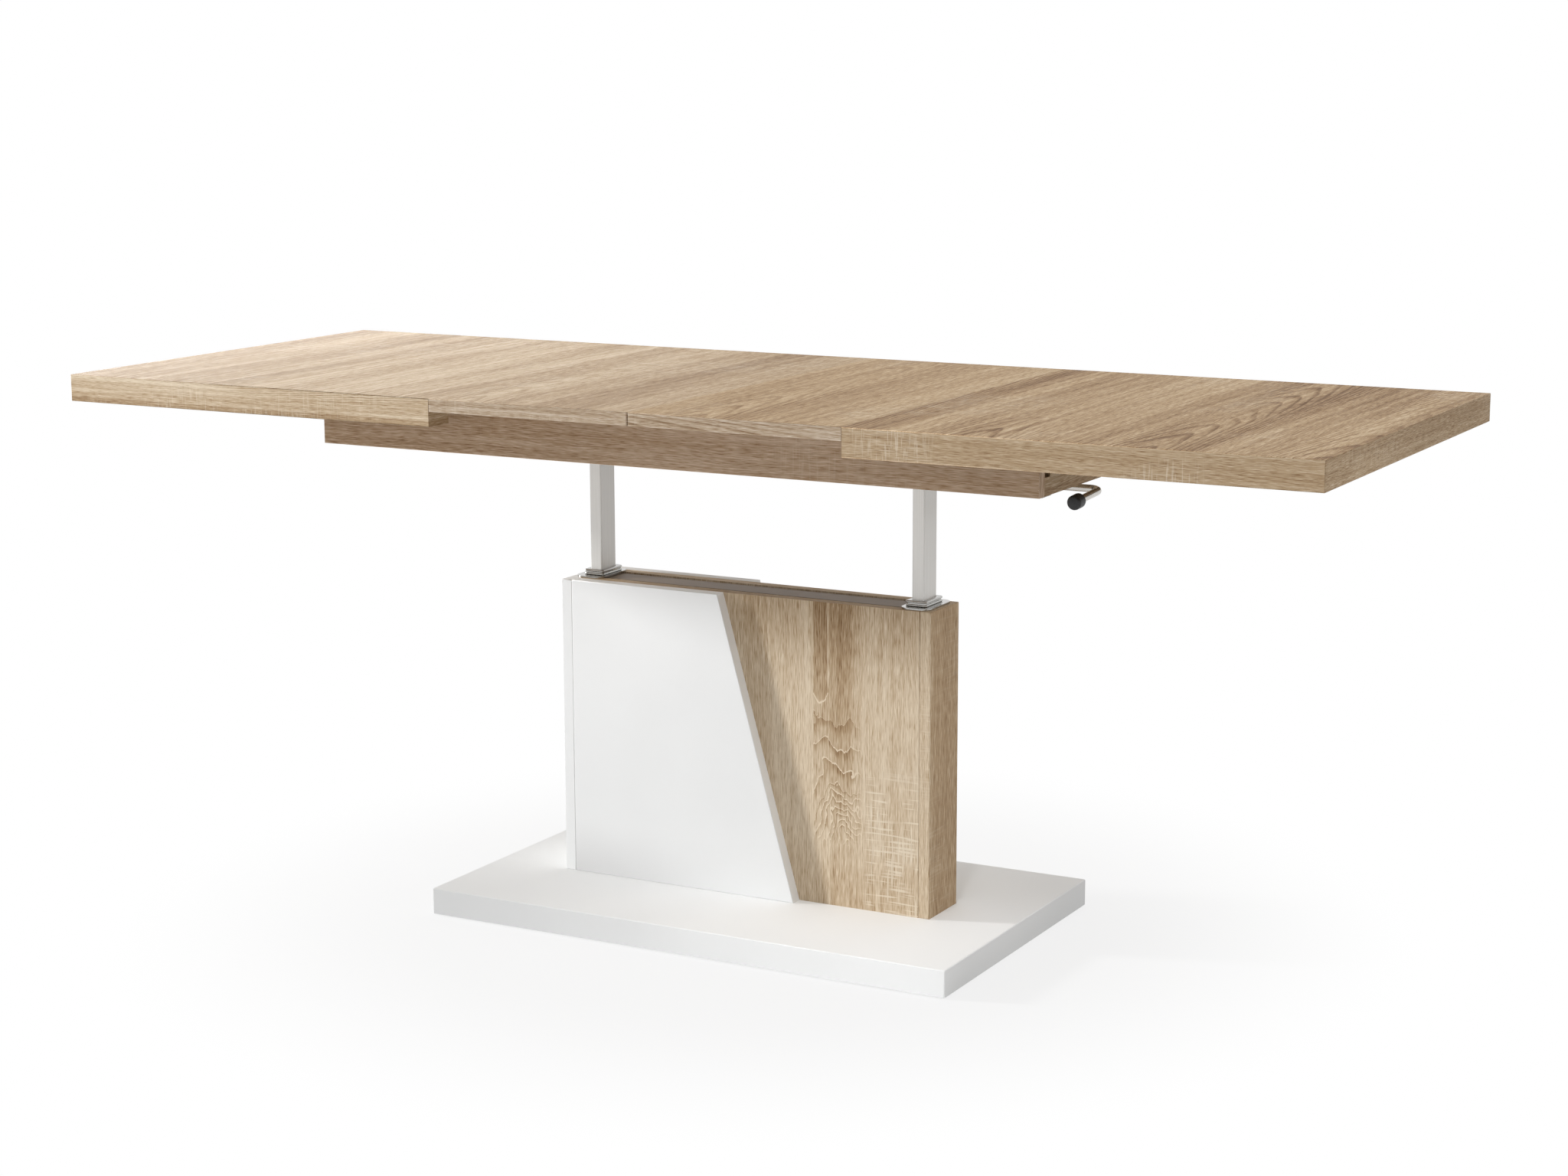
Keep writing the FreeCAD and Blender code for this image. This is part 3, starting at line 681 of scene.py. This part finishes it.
# Dark tone, light tone, gloss, pattern, its depth, metallic, specular
metals = {
    "satin_aluminium": ((214, 213, 210), (224, 223, 220), (0.34, 0.44), upright_lines, 0.00002, 0.25),
    "grey_steel": ((138, 135, 130), (158, 155, 150), (0.34, 0.46), lying_lines, 0.00002, 0.6),
    "zinc_steel": ((176, 178, 180), (206, 206, 203), (0.24, 0.40), blotches, 0.00001),
    "polished_steel": ((188, 184, 178), (204, 200, 194), (0.16, 0.26), lying_lines, 0.00001),
    "bright_moulding": ((172, 171, 168), (190, 189, 186), (0.12, 0.20), fine_dots, 0.00001),
    # Painted reflection: the tie bar's brown stands in for the oak that it mirrors.
    "brown_reflection_steel": ((130, 115, 100), (156, 140, 123), (0.40, 0.52), lying_lines, 0.00002, 0.0, 0.15),
}
finishes = {name: drawn_metal(name, *values) for name, values in metals.items()}
finishes["grey_plastic"] = finishes["bright_moulding"]
finishes["black_plastic"] = moulded_plastic("black_plastic", (27, 28, 28), (38, 39, 39), (0.42, 0.56))
finishes["oak_decor"] = oak_decor
finishes["white_lacquer"] = white_lacquer
print("finishes:", sorted(finishes))

# %% Dress the CAD nodes
own_finishes = {
    "base_plate": matt_white,
    "tie_bar": finishes["brown_reflection_steel"],
    "left_flange_plate": finishes["bright_moulding"],
    "right_flange_plate": finishes["bright_moulding"],
}
for row in frame["record"]["subparts"]:
    node = row["node"]
    mesh = nodes[node].data
    mesh.materials.clear()
    mesh.materials.append(own_finishes.get(node, finishes[row["material_slot"]]))
print("own finishes:", sorted(own_finishes))

# %% [markdown]
# ## Boards with softened edges
# A real board has edging that is rounded over by less than a millimetre, and that line catches light.
# A Bevel modifier would round every edge, also where two boards meet in one flush face.
# So each board is a flat outline given a thickness in bmesh, and only edges that show are bevelled.
# Its grain map follows the board's grain on big faces, and the edge's own length on edges.
# A shift gives each board its own part of the print.

# %% Board helpers
edge_radius = 0.0009
edge_steps = 3
across_edges = (4.3, 2.1)
edging_fineness = (1.4, 1.9)


def corner(point, depth, thin):
    """A flat point with its depth put in at the thin axis."""
    return (*point[:thin], depth, *point[thin:])


def rectangle(low, high, thin):
    """The outline of a box seen along its thin axis."""
    first, second = [axis for axis in range(3) if axis != thin]
    (left, foot), (right, top) = [(p[first], p[second]) for p in (low, high)]
    return [(left, foot), (right, foot), (right, top), (left, top)]


def slab(low, high, thin, softened, radius=edge_radius, outline=None):
    """A box as a bmesh, or an outline with the box's thickness, rounded where softened says so."""
    outline = outline or rectangle(low, high, thin)
    board = bmesh.new()
    floor_ring = [board.verts.new(corner(p, low[thin], thin)) for p in outline]
    roof_ring = [board.verts.new(corner(p, high[thin], thin)) for p in outline]
    board.faces.new(floor_ring)
    board.faces.new(roof_ring)
    for i in range(len(outline)):
        board.faces.new((floor_ring[i - 1], floor_ring[i], roof_ring[i], roof_ring[i - 1]))
    bmesh.ops.recalc_face_normals(board, faces=board.faces)
    chosen = [e for e in board.edges if softened((e.verts[0].co + e.verts[1].co) / 2)]
    made = bmesh.ops.bevel(
        board, geom=chosen, offset=radius, segments=edge_steps, profile=0.5, affect="EDGES"
    )
    for face in made["faces"]:
        face.smooth = True
    return board


def lay_grain(board, thin, grain, shift):
    """A UV map in metres: along the grain on big faces, along the edge on the edging."""
    layer = board.loops.layers.uv.new("grain")
    for face in board.faces:
        facing = max(range(3), key=lambda axis: abs(face.normal[axis]))
        along, across = grain, 3 - thin - grain
        extra, finer = (0.0, 0.0), (1.0, 1.0)
        if facing != thin:
            along, across = 3 - facing - thin, thin
            extra, finer = across_edges, edging_fineness
            face.material_index = 1 if facing == grain else 2
        for loop in face.loops:
            u = loop.vert.co[along] * finer[0] + shift[0] + extra[0]
            v = loop.vert.co[across] * finer[1] + shift[1] + extra[1]
            loop[layer].uv = (u, v)


def show(name, board, material, node, slot, across_grain=None, along_grain=None):
    """Makes a bmesh the piece shown for a CAD node; edges across and along the grain can differ."""
    mesh = bpy.data.meshes.new(name)
    board.to_mesh(mesh)
    board.free()
    mesh.materials.append(material)
    mesh.materials.append(across_grain or material)
    mesh.materials.append(along_grain or across_grain or material)
    piece = add_object(name, mesh)
    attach(piece, nodes[node]["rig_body"])
    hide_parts(node)
    return piece


def same(value, target):
    return abs(value - target) < 1e-5


print("edges rounded by", edge_radius * 1000, "mm")

# %% [markdown]
# ## Leaves and inserts
# A leaf is a thin board with strips under its three outer edges, so that it looks twice as thick.
# Board and strips are flush, and their edging looks like one piece, so their joint is not rounded.
# The inserts are plain boards with the grain across the table, like the leaves.
# Their edging strips end in a narrow notch where they meet, which shows as a dark line.

# %% Table top
leaf_shift = {"left": (0.37, 0.55), "right": (2.24, 1.31)}
insert_shift = {"left": (4.60, 0.35), "right": (2.75, 1.90)}
front_edging = {"left": oak_pale, "right": oak_sawn}
rim_width = 0.045
seam_mouth = 0.0009
seam_depth = 0.005
insert_radius = edge_radius * 0.6

for side, sign in (("left", -1), ("right", 1)):
    node = side + "_leaf_board"
    low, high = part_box(node)
    inner = low.x if sign > 0 else high.x
    outer = high.x if sign > 0 else low.x
    half = high.y
    edges = (front_edging[side], oak_edging)
    board = slab(low, high, 2, lambda p: not same(p.x, inner) and not same(p.z, low.z))
    lay_grain(board, 2, 1, leaf_shift[side])
    leaf = show(side + "_leaf_top", board, oak_top[side + "_leaf"], node, "oak_decor", *edges)

    node = side + "_leaf_rim"
    low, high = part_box(node)
    inset = half - rim_width
    end = outer - sign * rim_width
    outline = [
        (inner, -half), (outer, -half), (outer, half), (inner, half),
        (inner, inset), (end, inset), (end, -inset), (inner, -inset),
    ]

    def rim_edge(p):
        at_side = same(abs(p.y), half)
        at_end = same(p.x, outer)
        return (at_side and at_end) or ((at_side or at_end) and same(p.z, low.z))

    board = slab(low, high, 2, rim_edge, outline=outline)
    lay_grain(board, 2, 1, leaf_shift[side])
    show(side + "_leaf_edging", board, oak_decor, node, "oak_decor", *edges)

    node = side + "_insert_board"
    low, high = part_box(node)
    seam = low.x if sign > 0 else high.x
    outside = high.x if sign > 0 else low.x
    mouth = seam + sign * seam_mouth
    throat = half - seam_depth
    outline = [
        (outside, -half), (mouth, -half), (seam, -throat),
        (seam, throat), (mouth, half), (outside, half),
    ]
    board = slab(
        low, high, 2, lambda p: same(abs(p.y), half) and not same(p.z, low.z), insert_radius, outline
    )
    lay_grain(board, 2, 1, insert_shift[side])
    face_print = oak_top[side + "_insert"]
    insert = show(side + "_insert_top", board, face_print, node, "oak_decor", insert_edging[side])
    if side == "left":
        link_light(lamps["leaf_sheen"], "INCLUDE", leaf, insert)

# %% [markdown]
# ## Apron frame
# Under the top is a frame of four boards with the grain lengthwise, and two cross shelves inside it.
# The end boards are notched behind the long boards, so that the slides of the leaves can pass.

# %% Apron boards and shelves
notch_width = 0.016
notch_floor = 0.023

for side, sign in (("front", -1), ("back", 1)):
    node = "apron_" + side + "_board"
    low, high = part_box(node)
    face = low.y if sign < 0 else high.y
    board = slab(low, high, 1, lambda p: same(p.y, face) and not same(p.z, high.z))
    lay_grain(board, 1, 0, (7.1 + sign, 0.9 * sign))
    show("apron_" + side, board, oak_apron, node, "oak_decor")

for side, sign in (("left", -1), ("right", 1)):
    node = side + "_apron_end_board"
    low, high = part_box(node)
    step = low.z + notch_floor
    neck = high.y - notch_width
    outline = [
        (low.y, low.z), (high.y, low.z), (high.y, step), (neck, step),
        (neck, high.z), (-neck, high.z), (-neck, step), (low.y, step),
    ]
    outer = high.x if sign > 0 else low.x
    board = slab(
        low, high, 0, lambda p: same(p.x, outer) and same(p.z, low.z), outline=outline
    )
    lay_grain(board, 0, 1, (3.3 * sign, 6.2))
    show(side + "_apron_end", board, oak_edging, node, "oak_decor")

    node = side + "_shelf"
    low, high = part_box(node)
    long_edges = (low.x, high.x)
    board = slab(low, high, 2, lambda p: any(same(p.x, x) for x in long_edges))
    lay_grain(board, 2, 1, (8.8, 1.7 * sign))
    show(side + "_cross_shelf", board, oak_decor, node, "oak_decor")

# %% [markdown]
# ## Pedestal
# The pedestal is a box of oak-decor boards with upright grain, closed by a white board at the left end.
# A white cladding with a sloped edge stands proud of the oak on the front and on the back.
# It is rounded at its foot too, and that leaves a fine dark line on the base.
# The front panel has its own print, with a darker plank and a curled figure.

# %% Pedestal boards
joint_radius = 0.0008
panels = (("front", -1, oak_front, (0.0, 0.0)), ("back", 1, oak_light, (2.9, 0.6)))
for side, sign, material, shift in panels:
    node = "pedestal_" + side + "_panel"
    low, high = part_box(node)
    face = low.y if sign < 0 else high.y
    board = slab(low, high, 1, lambda p: same(p.y, face) and same(p.x, high.x), joint_radius)
    lay_grain(board, 1, 2, shift)
    show("pedestal_" + side, board, material, node, "oak_decor")

ends = (("left", -1, white_lacquer, "white_lacquer"), ("right", 1, oak_end_painted_shade, "oak_decor"))
for side, sign, material, slot in ends:
    node = "pedestal_" + side + "_end_panel"
    low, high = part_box(node)
    outer = high.x if sign > 0 else low.x
    base_line = low.z
    side_face = high.y

    def end_edge(p):
        upright = same(abs(p.y), side_face)
        return upright or (same(p.x, outer) and not same(p.z, base_line))

    board = slab(low, high, 0, end_edge, joint_radius)
    lay_grain(board, 0, 2, (1.2, 9.4))
    edging = oak_light if material is oak_end_painted_shade else material
    show("pedestal_" + side + "_end", board, material, node, slot, edging)

cladding_reach = (0.347, 0.231)
for side, sign in (("front", -1), ("back", 1)):
    node = side + "_cladding"
    low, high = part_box(node)
    foot_tip = low.x + cladding_reach[0]
    top_tip = low.x + cladding_reach[1]
    face = low.y if sign < 0 else high.y
    outline = [(low.x, low.z), (foot_tip, low.z), (top_tip, high.z), (low.x, high.z)]
    board = slab(low, high, 1, lambda p: same(p.y, face), outline=outline)
    piece = show(side + "_sloped_board", board, board_white_painted_shade, node, "white_lacquer")
    if side == "front":
        link_light(lamps["board_fill"], "INCLUDE", piece)
print("pedestal", round(high.z - low.z, 3), "m high")

# %% [markdown]
# ## Collars
# Each column slides through a collar: a thin sleeve in the guide tube, and two brims with a groove.
# It is a stack of rounded rectangles, each a little larger or smaller than the last.
# Its skin of quads goes up the outside, over the top, down the bore and back, so it has a true wall.

# %% Guide collars
corner_steps = 5


def rounded_ring(half_x, half_y, radius):
    """The points of a rectangle with round corners, anticlockwise."""
    points = []
    corners = ((1, 1), (-1, 1), (-1, -1), (1, -1))
    for index, (sx, sy) in enumerate(corners):
        centre = ((half_x - radius) * sx, (half_y - radius) * sy)
        for step in range(corner_steps + 1):
            turn = math.radians(90.0 * (index + step / corner_steps))
            points.append((centre[0] + radius * math.cos(turn), centre[1] + radius * math.sin(turn)))
    return points


def inset_by(half, inset):
    """A half size that is smaller by an inset on both axes."""
    return (half[0] - inset, half[1] - inset)


def skin(rings, closed):
    """A bmesh of quads through rings of points; closed joins the last ring to the first."""
    body = bmesh.new()
    rows = [[body.verts.new(p) for p in ring] for ring in rings]
    pairs = list(zip(rows, rows[1:]))
    if closed:
        pairs.append((rows[-1], rows[0]))
    else:
        body.faces.new(rows[0])
        body.faces.new(rows[-1])
    for lower, upper in pairs:
        for i in range(len(lower)):
            body.faces.new((lower[i - 1], lower[i], upper[i], upper[i - 1]))
    bmesh.ops.recalc_face_normals(body, faces=body.faces)
    return body


def sharp_smooth(piece, degrees):
    """Smooth shading, broken where faces meet more sharply than the angle."""
    mesh = piece.data
    mesh.polygons.foreach_set("use_smooth", [True] * len(mesh.polygons))
    mesh.set_sharp_from_angle(angle=math.radians(degrees))


brim_half = (0.0155, 0.027)
sleeve_half = (0.0118, 0.0218)
bore_half = (0.0092, 0.0192)
brim_corner = 0.0042
brim_height = 0.003
groove_height = 0.0015
groove_depth = 0.0015
brim_round = (
    (0.0, 0.0012), (0.0004, 0.0004), (0.0012, 0.0),
    (0.0018, 0.0), (0.0026, 0.0004), (brim_height, 0.0012),
)
bore_corner = 0.0021
bore_chamfer = 0.0007
least_corner = 0.0012

for side in ("left", "right"):
    node = side + "_guide_collar"
    low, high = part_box(node)
    centre_x = (low.x + high.x) / 2
    upper_foot = high.z - brim_height
    lower_foot = upper_foot - groove_height - brim_height
    outside = [(low.z, sleeve_half), (lower_foot, sleeve_half)]
    for foot in (lower_foot, upper_foot):
        outside += [(foot + rise, inset_by(brim_half, inset)) for rise, inset in brim_round]
        if foot == lower_foot:
            waist = inset_by(brim_half, groove_depth)
            outside += [(foot + brim_height, waist), (upper_foot, waist)]
    levels = []
    for z, half in outside:
        ring = rounded_ring(*half, max(brim_corner - brim_half[0] + half[0], least_corner))
        levels.append([(centre_x + x, y, z) for x, y in ring])
    for z, spread in ((high.z, bore_chamfer), (high.z - bore_chamfer, 0.0), (low.z, 0.0)):
        ring = rounded_ring(*inset_by(bore_half, -spread), bore_corner + spread)
        levels.append([(centre_x + x, y, z) for x, y in ring])
    collar = skin(levels, True)
    piece = show(side + "_stepped_collar", collar, finishes["grey_plastic"], node, "grey_plastic")
    sharp_smooth(piece, 40.0)
print("collars of", len(levels), "levels each")

# %% [markdown]
# ## Release lever
# One bent rod runs under the top through both columns, and comes out at the right end with a knob.
# A rod follows a path, so Geometry Nodes make it: a line of corner points becomes a curve,
# Fillet Curve rounds the bend, and Curve to Mesh sweeps a circle along it.
# The modifier's result is copied to a plain mesh, because the export keeps meshes only.



# %% Growing with Geometry Nodes
def node_tree(name, *numbers):
    """A Geometry Nodes tree with inputs for a geometry, some numbers and a finish."""
    tree = bpy.data.node_groups.new(name, "GeometryNodeTree")
    kinds = {"Geometry": "NodeSocketGeometry", "Finish": "NodeSocketMaterial"}
    for label in ("Geometry", *numbers, "Finish"):
        kind = kinds.get(label, "NodeSocketFloat")
        tree.interface.new_socket(label, in_out="INPUT", socket_type=kind)
    tree.interface.new_socket("Geometry", in_out="OUTPUT", socket_type="NodeSocketGeometry")
    return tree, add_node(tree, "NodeGroupInput").outputs


def coat(tree, given, mesh):
    """Gives the mesh the finish that came in, and makes it the tree's result."""
    inputs = {"Geometry": mesh, "Material": given["Finish"]}
    coated = add_node(tree, "GeometryNodeSetMaterial", inputs)
    add_node(tree, "NodeGroupOutput", {"Geometry": coated.outputs["Geometry"]})


def grow(name, tree, mesh, values):
    """Runs a tree on a mesh with the given input values, and returns the result as a plain object."""
    seed = add_object(name + "_seed", mesh)
    modifier = seed.modifiers.new("grow", "NODES")
    modifier.node_group = tree
    for item in tree.interface.items_tree:
        if item.in_out == "INPUT" and item.name in values:
            modifier[item.identifier] = values[item.name]
    view = bpy.context.evaluated_depsgraph_get()
    made = bpy.data.meshes.new_from_object(seed.evaluated_get(view))
    bpy.data.objects.remove(seed)
    made.name = name
    return add_object(name, made)


print("ready to grow meshes")

# %% Lever rod
rod_radius = 0.005
bend_radius = 0.016
bend_steps = 14
rod_sides = 24
arm_length = 0.088
droop = math.radians(3.0)

rod_tree, rod_in = node_tree("bent_rod", "Rod Radius", "Bend Radius")
path = add_node(rod_tree, "GeometryNodeMeshToCurve", {"Mesh": rod_in["Geometry"]})
inputs = {"Curve": path.outputs["Curve"], "Count": bend_steps, "Radius": rod_in["Bend Radius"]}
bent = add_node(rod_tree, "GeometryNodeFilletCurve", inputs, mode="POLY")
inputs = {"Resolution": rod_sides, "Radius": rod_in["Rod Radius"]}
section = add_node(rod_tree, "GeometryNodeCurvePrimitiveCircle", inputs)
inputs = {
    "Curve": bent.outputs["Curve"],
    "Profile Curve": section.outputs["Curve"],
    "Fill Caps": True,
}
swept = add_node(rod_tree, "GeometryNodeCurveToMesh", inputs)
coat(rod_tree, rod_in, swept.outputs["Mesh"])

low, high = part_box("release_lever")
shaft_height = high.z - rod_radius
arm = Vector((0.0, -math.cos(droop), -math.sin(droop)))
elbow = Vector((high.x - rod_radius, 0.0, shaft_height))
tail = Vector((low.x, 0.0, shaft_height))
rod_path = bpy.data.meshes.new("lever_path")
rod_path.from_pydata([tail, elbow, elbow + arm * arm_length], [(0, 1), (1, 2)], [])
values = {"Rod Radius": rod_radius, "Bend Radius": bend_radius, "Finish": finishes["polished_steel"]}
rod = grow("lever_rod", rod_tree, rod_path, values)
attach(rod, "release_lever")
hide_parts("release_lever")
sharp_smooth(rod, 40.0)
print("lever rod of", len(rod.data.polygons), "faces")

# %% [markdown]
# ## Knob
# The knob is a black moulding pushed on the rod's end, with a domed face and well-rounded shoulders.
# It is a turned shape, so rings of points along the arm are skinned, from the rod to the dome's tip.

# %% Lever knob
knob_radius = 0.0095
knob_length = 0.020
knob_wall = 0.005
knob_round = 0.0036
foot_round = 0.0016
foot_steps = 6
dome_rise = 0.0008
dome_turn = 84.0
dome_steps = 8
dome_rings = ((0.0028, 0.0002), (0.0006, 0.0))
rod_gap = 0.0001
ring_points = 40

rod_end = elbow + arm * arm_length
knob_foot = rod_end + arm * (knob_wall - knob_length)
sideways = Vector((1.0, 0.0, 0.0))
upward = arm.cross(sideways)
profile = [(rod_radius + rod_gap, 0.0)]
for step in range(foot_steps + 1):
    turn = math.radians(90.0 * step / foot_steps)
    radius = knob_radius - foot_round + foot_round * math.sin(turn)
    profile.append((radius, foot_round - foot_round * math.cos(turn)))
for step in range(dome_steps + 1):
    turn = math.radians(dome_turn * step / dome_steps)
    radius = knob_radius - knob_round + knob_round * math.cos(turn)
    profile.append((radius, knob_length - dome_rise - knob_round + knob_round * math.sin(turn)))
for radius, drop in dome_rings:
    profile.append((radius, knob_length - drop))
rings = []
for radius, height in profile:
    centre = knob_foot + arm * height
    turns = [2 * math.pi * i / ring_points for i in range(ring_points)]
    rings.append([
        centre + sideways * (radius * math.cos(t)) + upward * (radius * math.sin(t)) for t in turns
    ])
knob = skin(rings, False)
piece = show("knob_moulding", knob, finishes["black_plastic"], "lever_knob", "black_plastic")
sharp_smooth(piece, 50.0)
print("knob of", len(rings), "rings")

# %% [markdown]
# ## Screws
# Plates, brackets and rails are held by small round heads with a driver recess.
# They repeat, so a Geometry Nodes tree puts one head on every point of a cloud of points.
# Each point carries two attributes: outward, the way the head faces, and reach, its radius.
# The head is a disc, extruded three times: up for the head, in for the rim, down for the recess.

# %% Screw heads
head_sides = 16
rim_share = 0.78
screw_tree, screw_in = node_tree("screw_heads", "Head Height", "Recess Width", "Recess Depth")


def raise_face(mesh, selection, amount):
    """Extrudes the chosen faces straight up; gives the new mesh and the faces on top."""
    inputs = {"Mesh": mesh, "Offset Scale": amount, "Individual": False}
    if selection:
        inputs["Selection"] = selection
    node = add_node(screw_tree, "GeometryNodeExtrudeMesh", inputs, mode="FACES")
    return node.outputs["Mesh"], node.outputs["Top"]


def shrink_face(mesh, selection, amount):
    """Makes the chosen faces smaller about their middle."""
    inputs = {"Geometry": mesh, "Selection": selection, "Scale": amount}
    return add_node(screw_tree, "GeometryNodeScaleElements", inputs, domain="FACE").outputs["Geometry"]


def carried(name, kind):
    """An attribute that the points carry."""
    node = add_node(screw_tree, "GeometryNodeInputNamedAttribute", {"Name": name}, data_type=kind)
    return node.outputs["Attribute"]


inputs = {"Vertices": head_sides, "Radius": 1.0}
disc = add_node(screw_tree, "GeometryNodeMeshCircle", inputs, fill_type="NGON")
head, top = raise_face(disc.outputs["Mesh"], None, screw_in["Head Height"])
head = shrink_face(head, top, rim_share)
head, top = raise_face(head, top, 0.0)
head = shrink_face(head, top, screw_in["Recess Width"])
head, top = raise_face(head, top, times(screw_tree, screw_in["Recess Depth"], -1.0))
inputs = {"Vector": carried("outward", "FLOAT_VECTOR")}
turned = add_node(screw_tree, "FunctionNodeAlignRotationToVector", inputs, axis="Z")
inputs = {
    "Points": screw_in["Geometry"],
    "Instance": head,
    "Rotation": turned.outputs["Rotation"],
    "Scale": carried("reach", "FLOAT"),
}
placed = add_node(screw_tree, "GeometryNodeInstanceOnPoints", inputs)
inputs = {"Geometry": placed.outputs["Instances"]}
real = add_node(screw_tree, "GeometryNodeRealizeInstances", inputs)
coat(screw_tree, screw_in, real.outputs["Geometry"])
print("screw heads with", head_sides, "sides")

# %% Place the screws
down = (0.0, 0.0, -1.0)
rail_sheet = 0.0012
bracket_sheet = 0.002
hanger_sheet = 0.003
hanger_inset = 0.009
hanger_head = 0.0036

plate_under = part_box("left_head_plate")[0].z
base_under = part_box("base_plate")[0].z
bracket_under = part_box("left_leaf_brackets")[1].z - bracket_sheet
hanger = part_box("shaft_hanger")[1]
rail_low, rail_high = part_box("right_slide_outer_rails")
rail_middle = (rail_low.z + rail_high.z) / 2

# Places along X, distance from the middle in Y, radius of the heads
plate_row = ((0.2115, 0.2835), 0.045, 0.0048)
rail_row = ((0.045, 0.160, 0.275), rail_high.y - rail_sheet, 0.0034)
bracket_row = ((0.335, 0.450, 0.565, 0.680, 0.795), 0.221, 0.0042)
base_row = ((0.060, 0.150, 0.240), 0.035, 0.0050)

screws = {"pedestal": [], "top_frame": [], "left_leaf": [], "right_leaf": []}
for sign in (-1, 1):
    for y_sign in (-1, 1):
        groups = (
            ("top_frame", plate_row, plate_under, down),
            ("top_frame", rail_row, rail_middle, (0.0, -y_sign, 0.0)),
            ("left_leaf" if sign < 0 else "right_leaf", bracket_row, bracket_under, down),
            ("pedestal", base_row, base_under, down),
        )
        for body, (places, aside, radius), height, way in groups:
            for x in places:
                screws[body].append(((sign * x, y_sign * aside, height), way, radius))
for y in (-hanger_inset, hanger_inset):
    place = (hanger.x - hanger_inset, y, hanger.z - hanger_sheet)
    screws["top_frame"].append((place, down, hanger_head))

head_shape = {"Head Height": 0.30, "Recess Width": 0.5, "Recess Depth": 0.22}
for body, rows in screws.items():
    cloud = bpy.data.meshes.new(body + "_points")
    cloud.from_pydata([place for place, _, _ in rows], [], [])
    axes = cloud.attributes.new("outward", "FLOAT_VECTOR", "POINT")
    axes.data.foreach_set("vector", [c for _, axis, _ in rows for c in axis])
    sizes = cloud.attributes.new("reach", "FLOAT", "POINT")
    sizes.data.foreach_set("value", [radius for _, _, radius in rows])
    values = {**head_shape, "Finish": finishes["zinc_steel"]}
    piece = grow(body + "_screws", screw_tree, cloud, values)
    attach(piece, body)
    print(body, "has", len(rows), "screws,", len(piece.data.polygons), "faces")

# %% Measure the dressed boxes
dressed_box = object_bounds()
sizes = {
    "cad": [list(cad_box[0]), list(cad_box[1])],
    "visual": [list(dressed_box[0]), list(dressed_box[1])],
}
print("sizes", sizes)
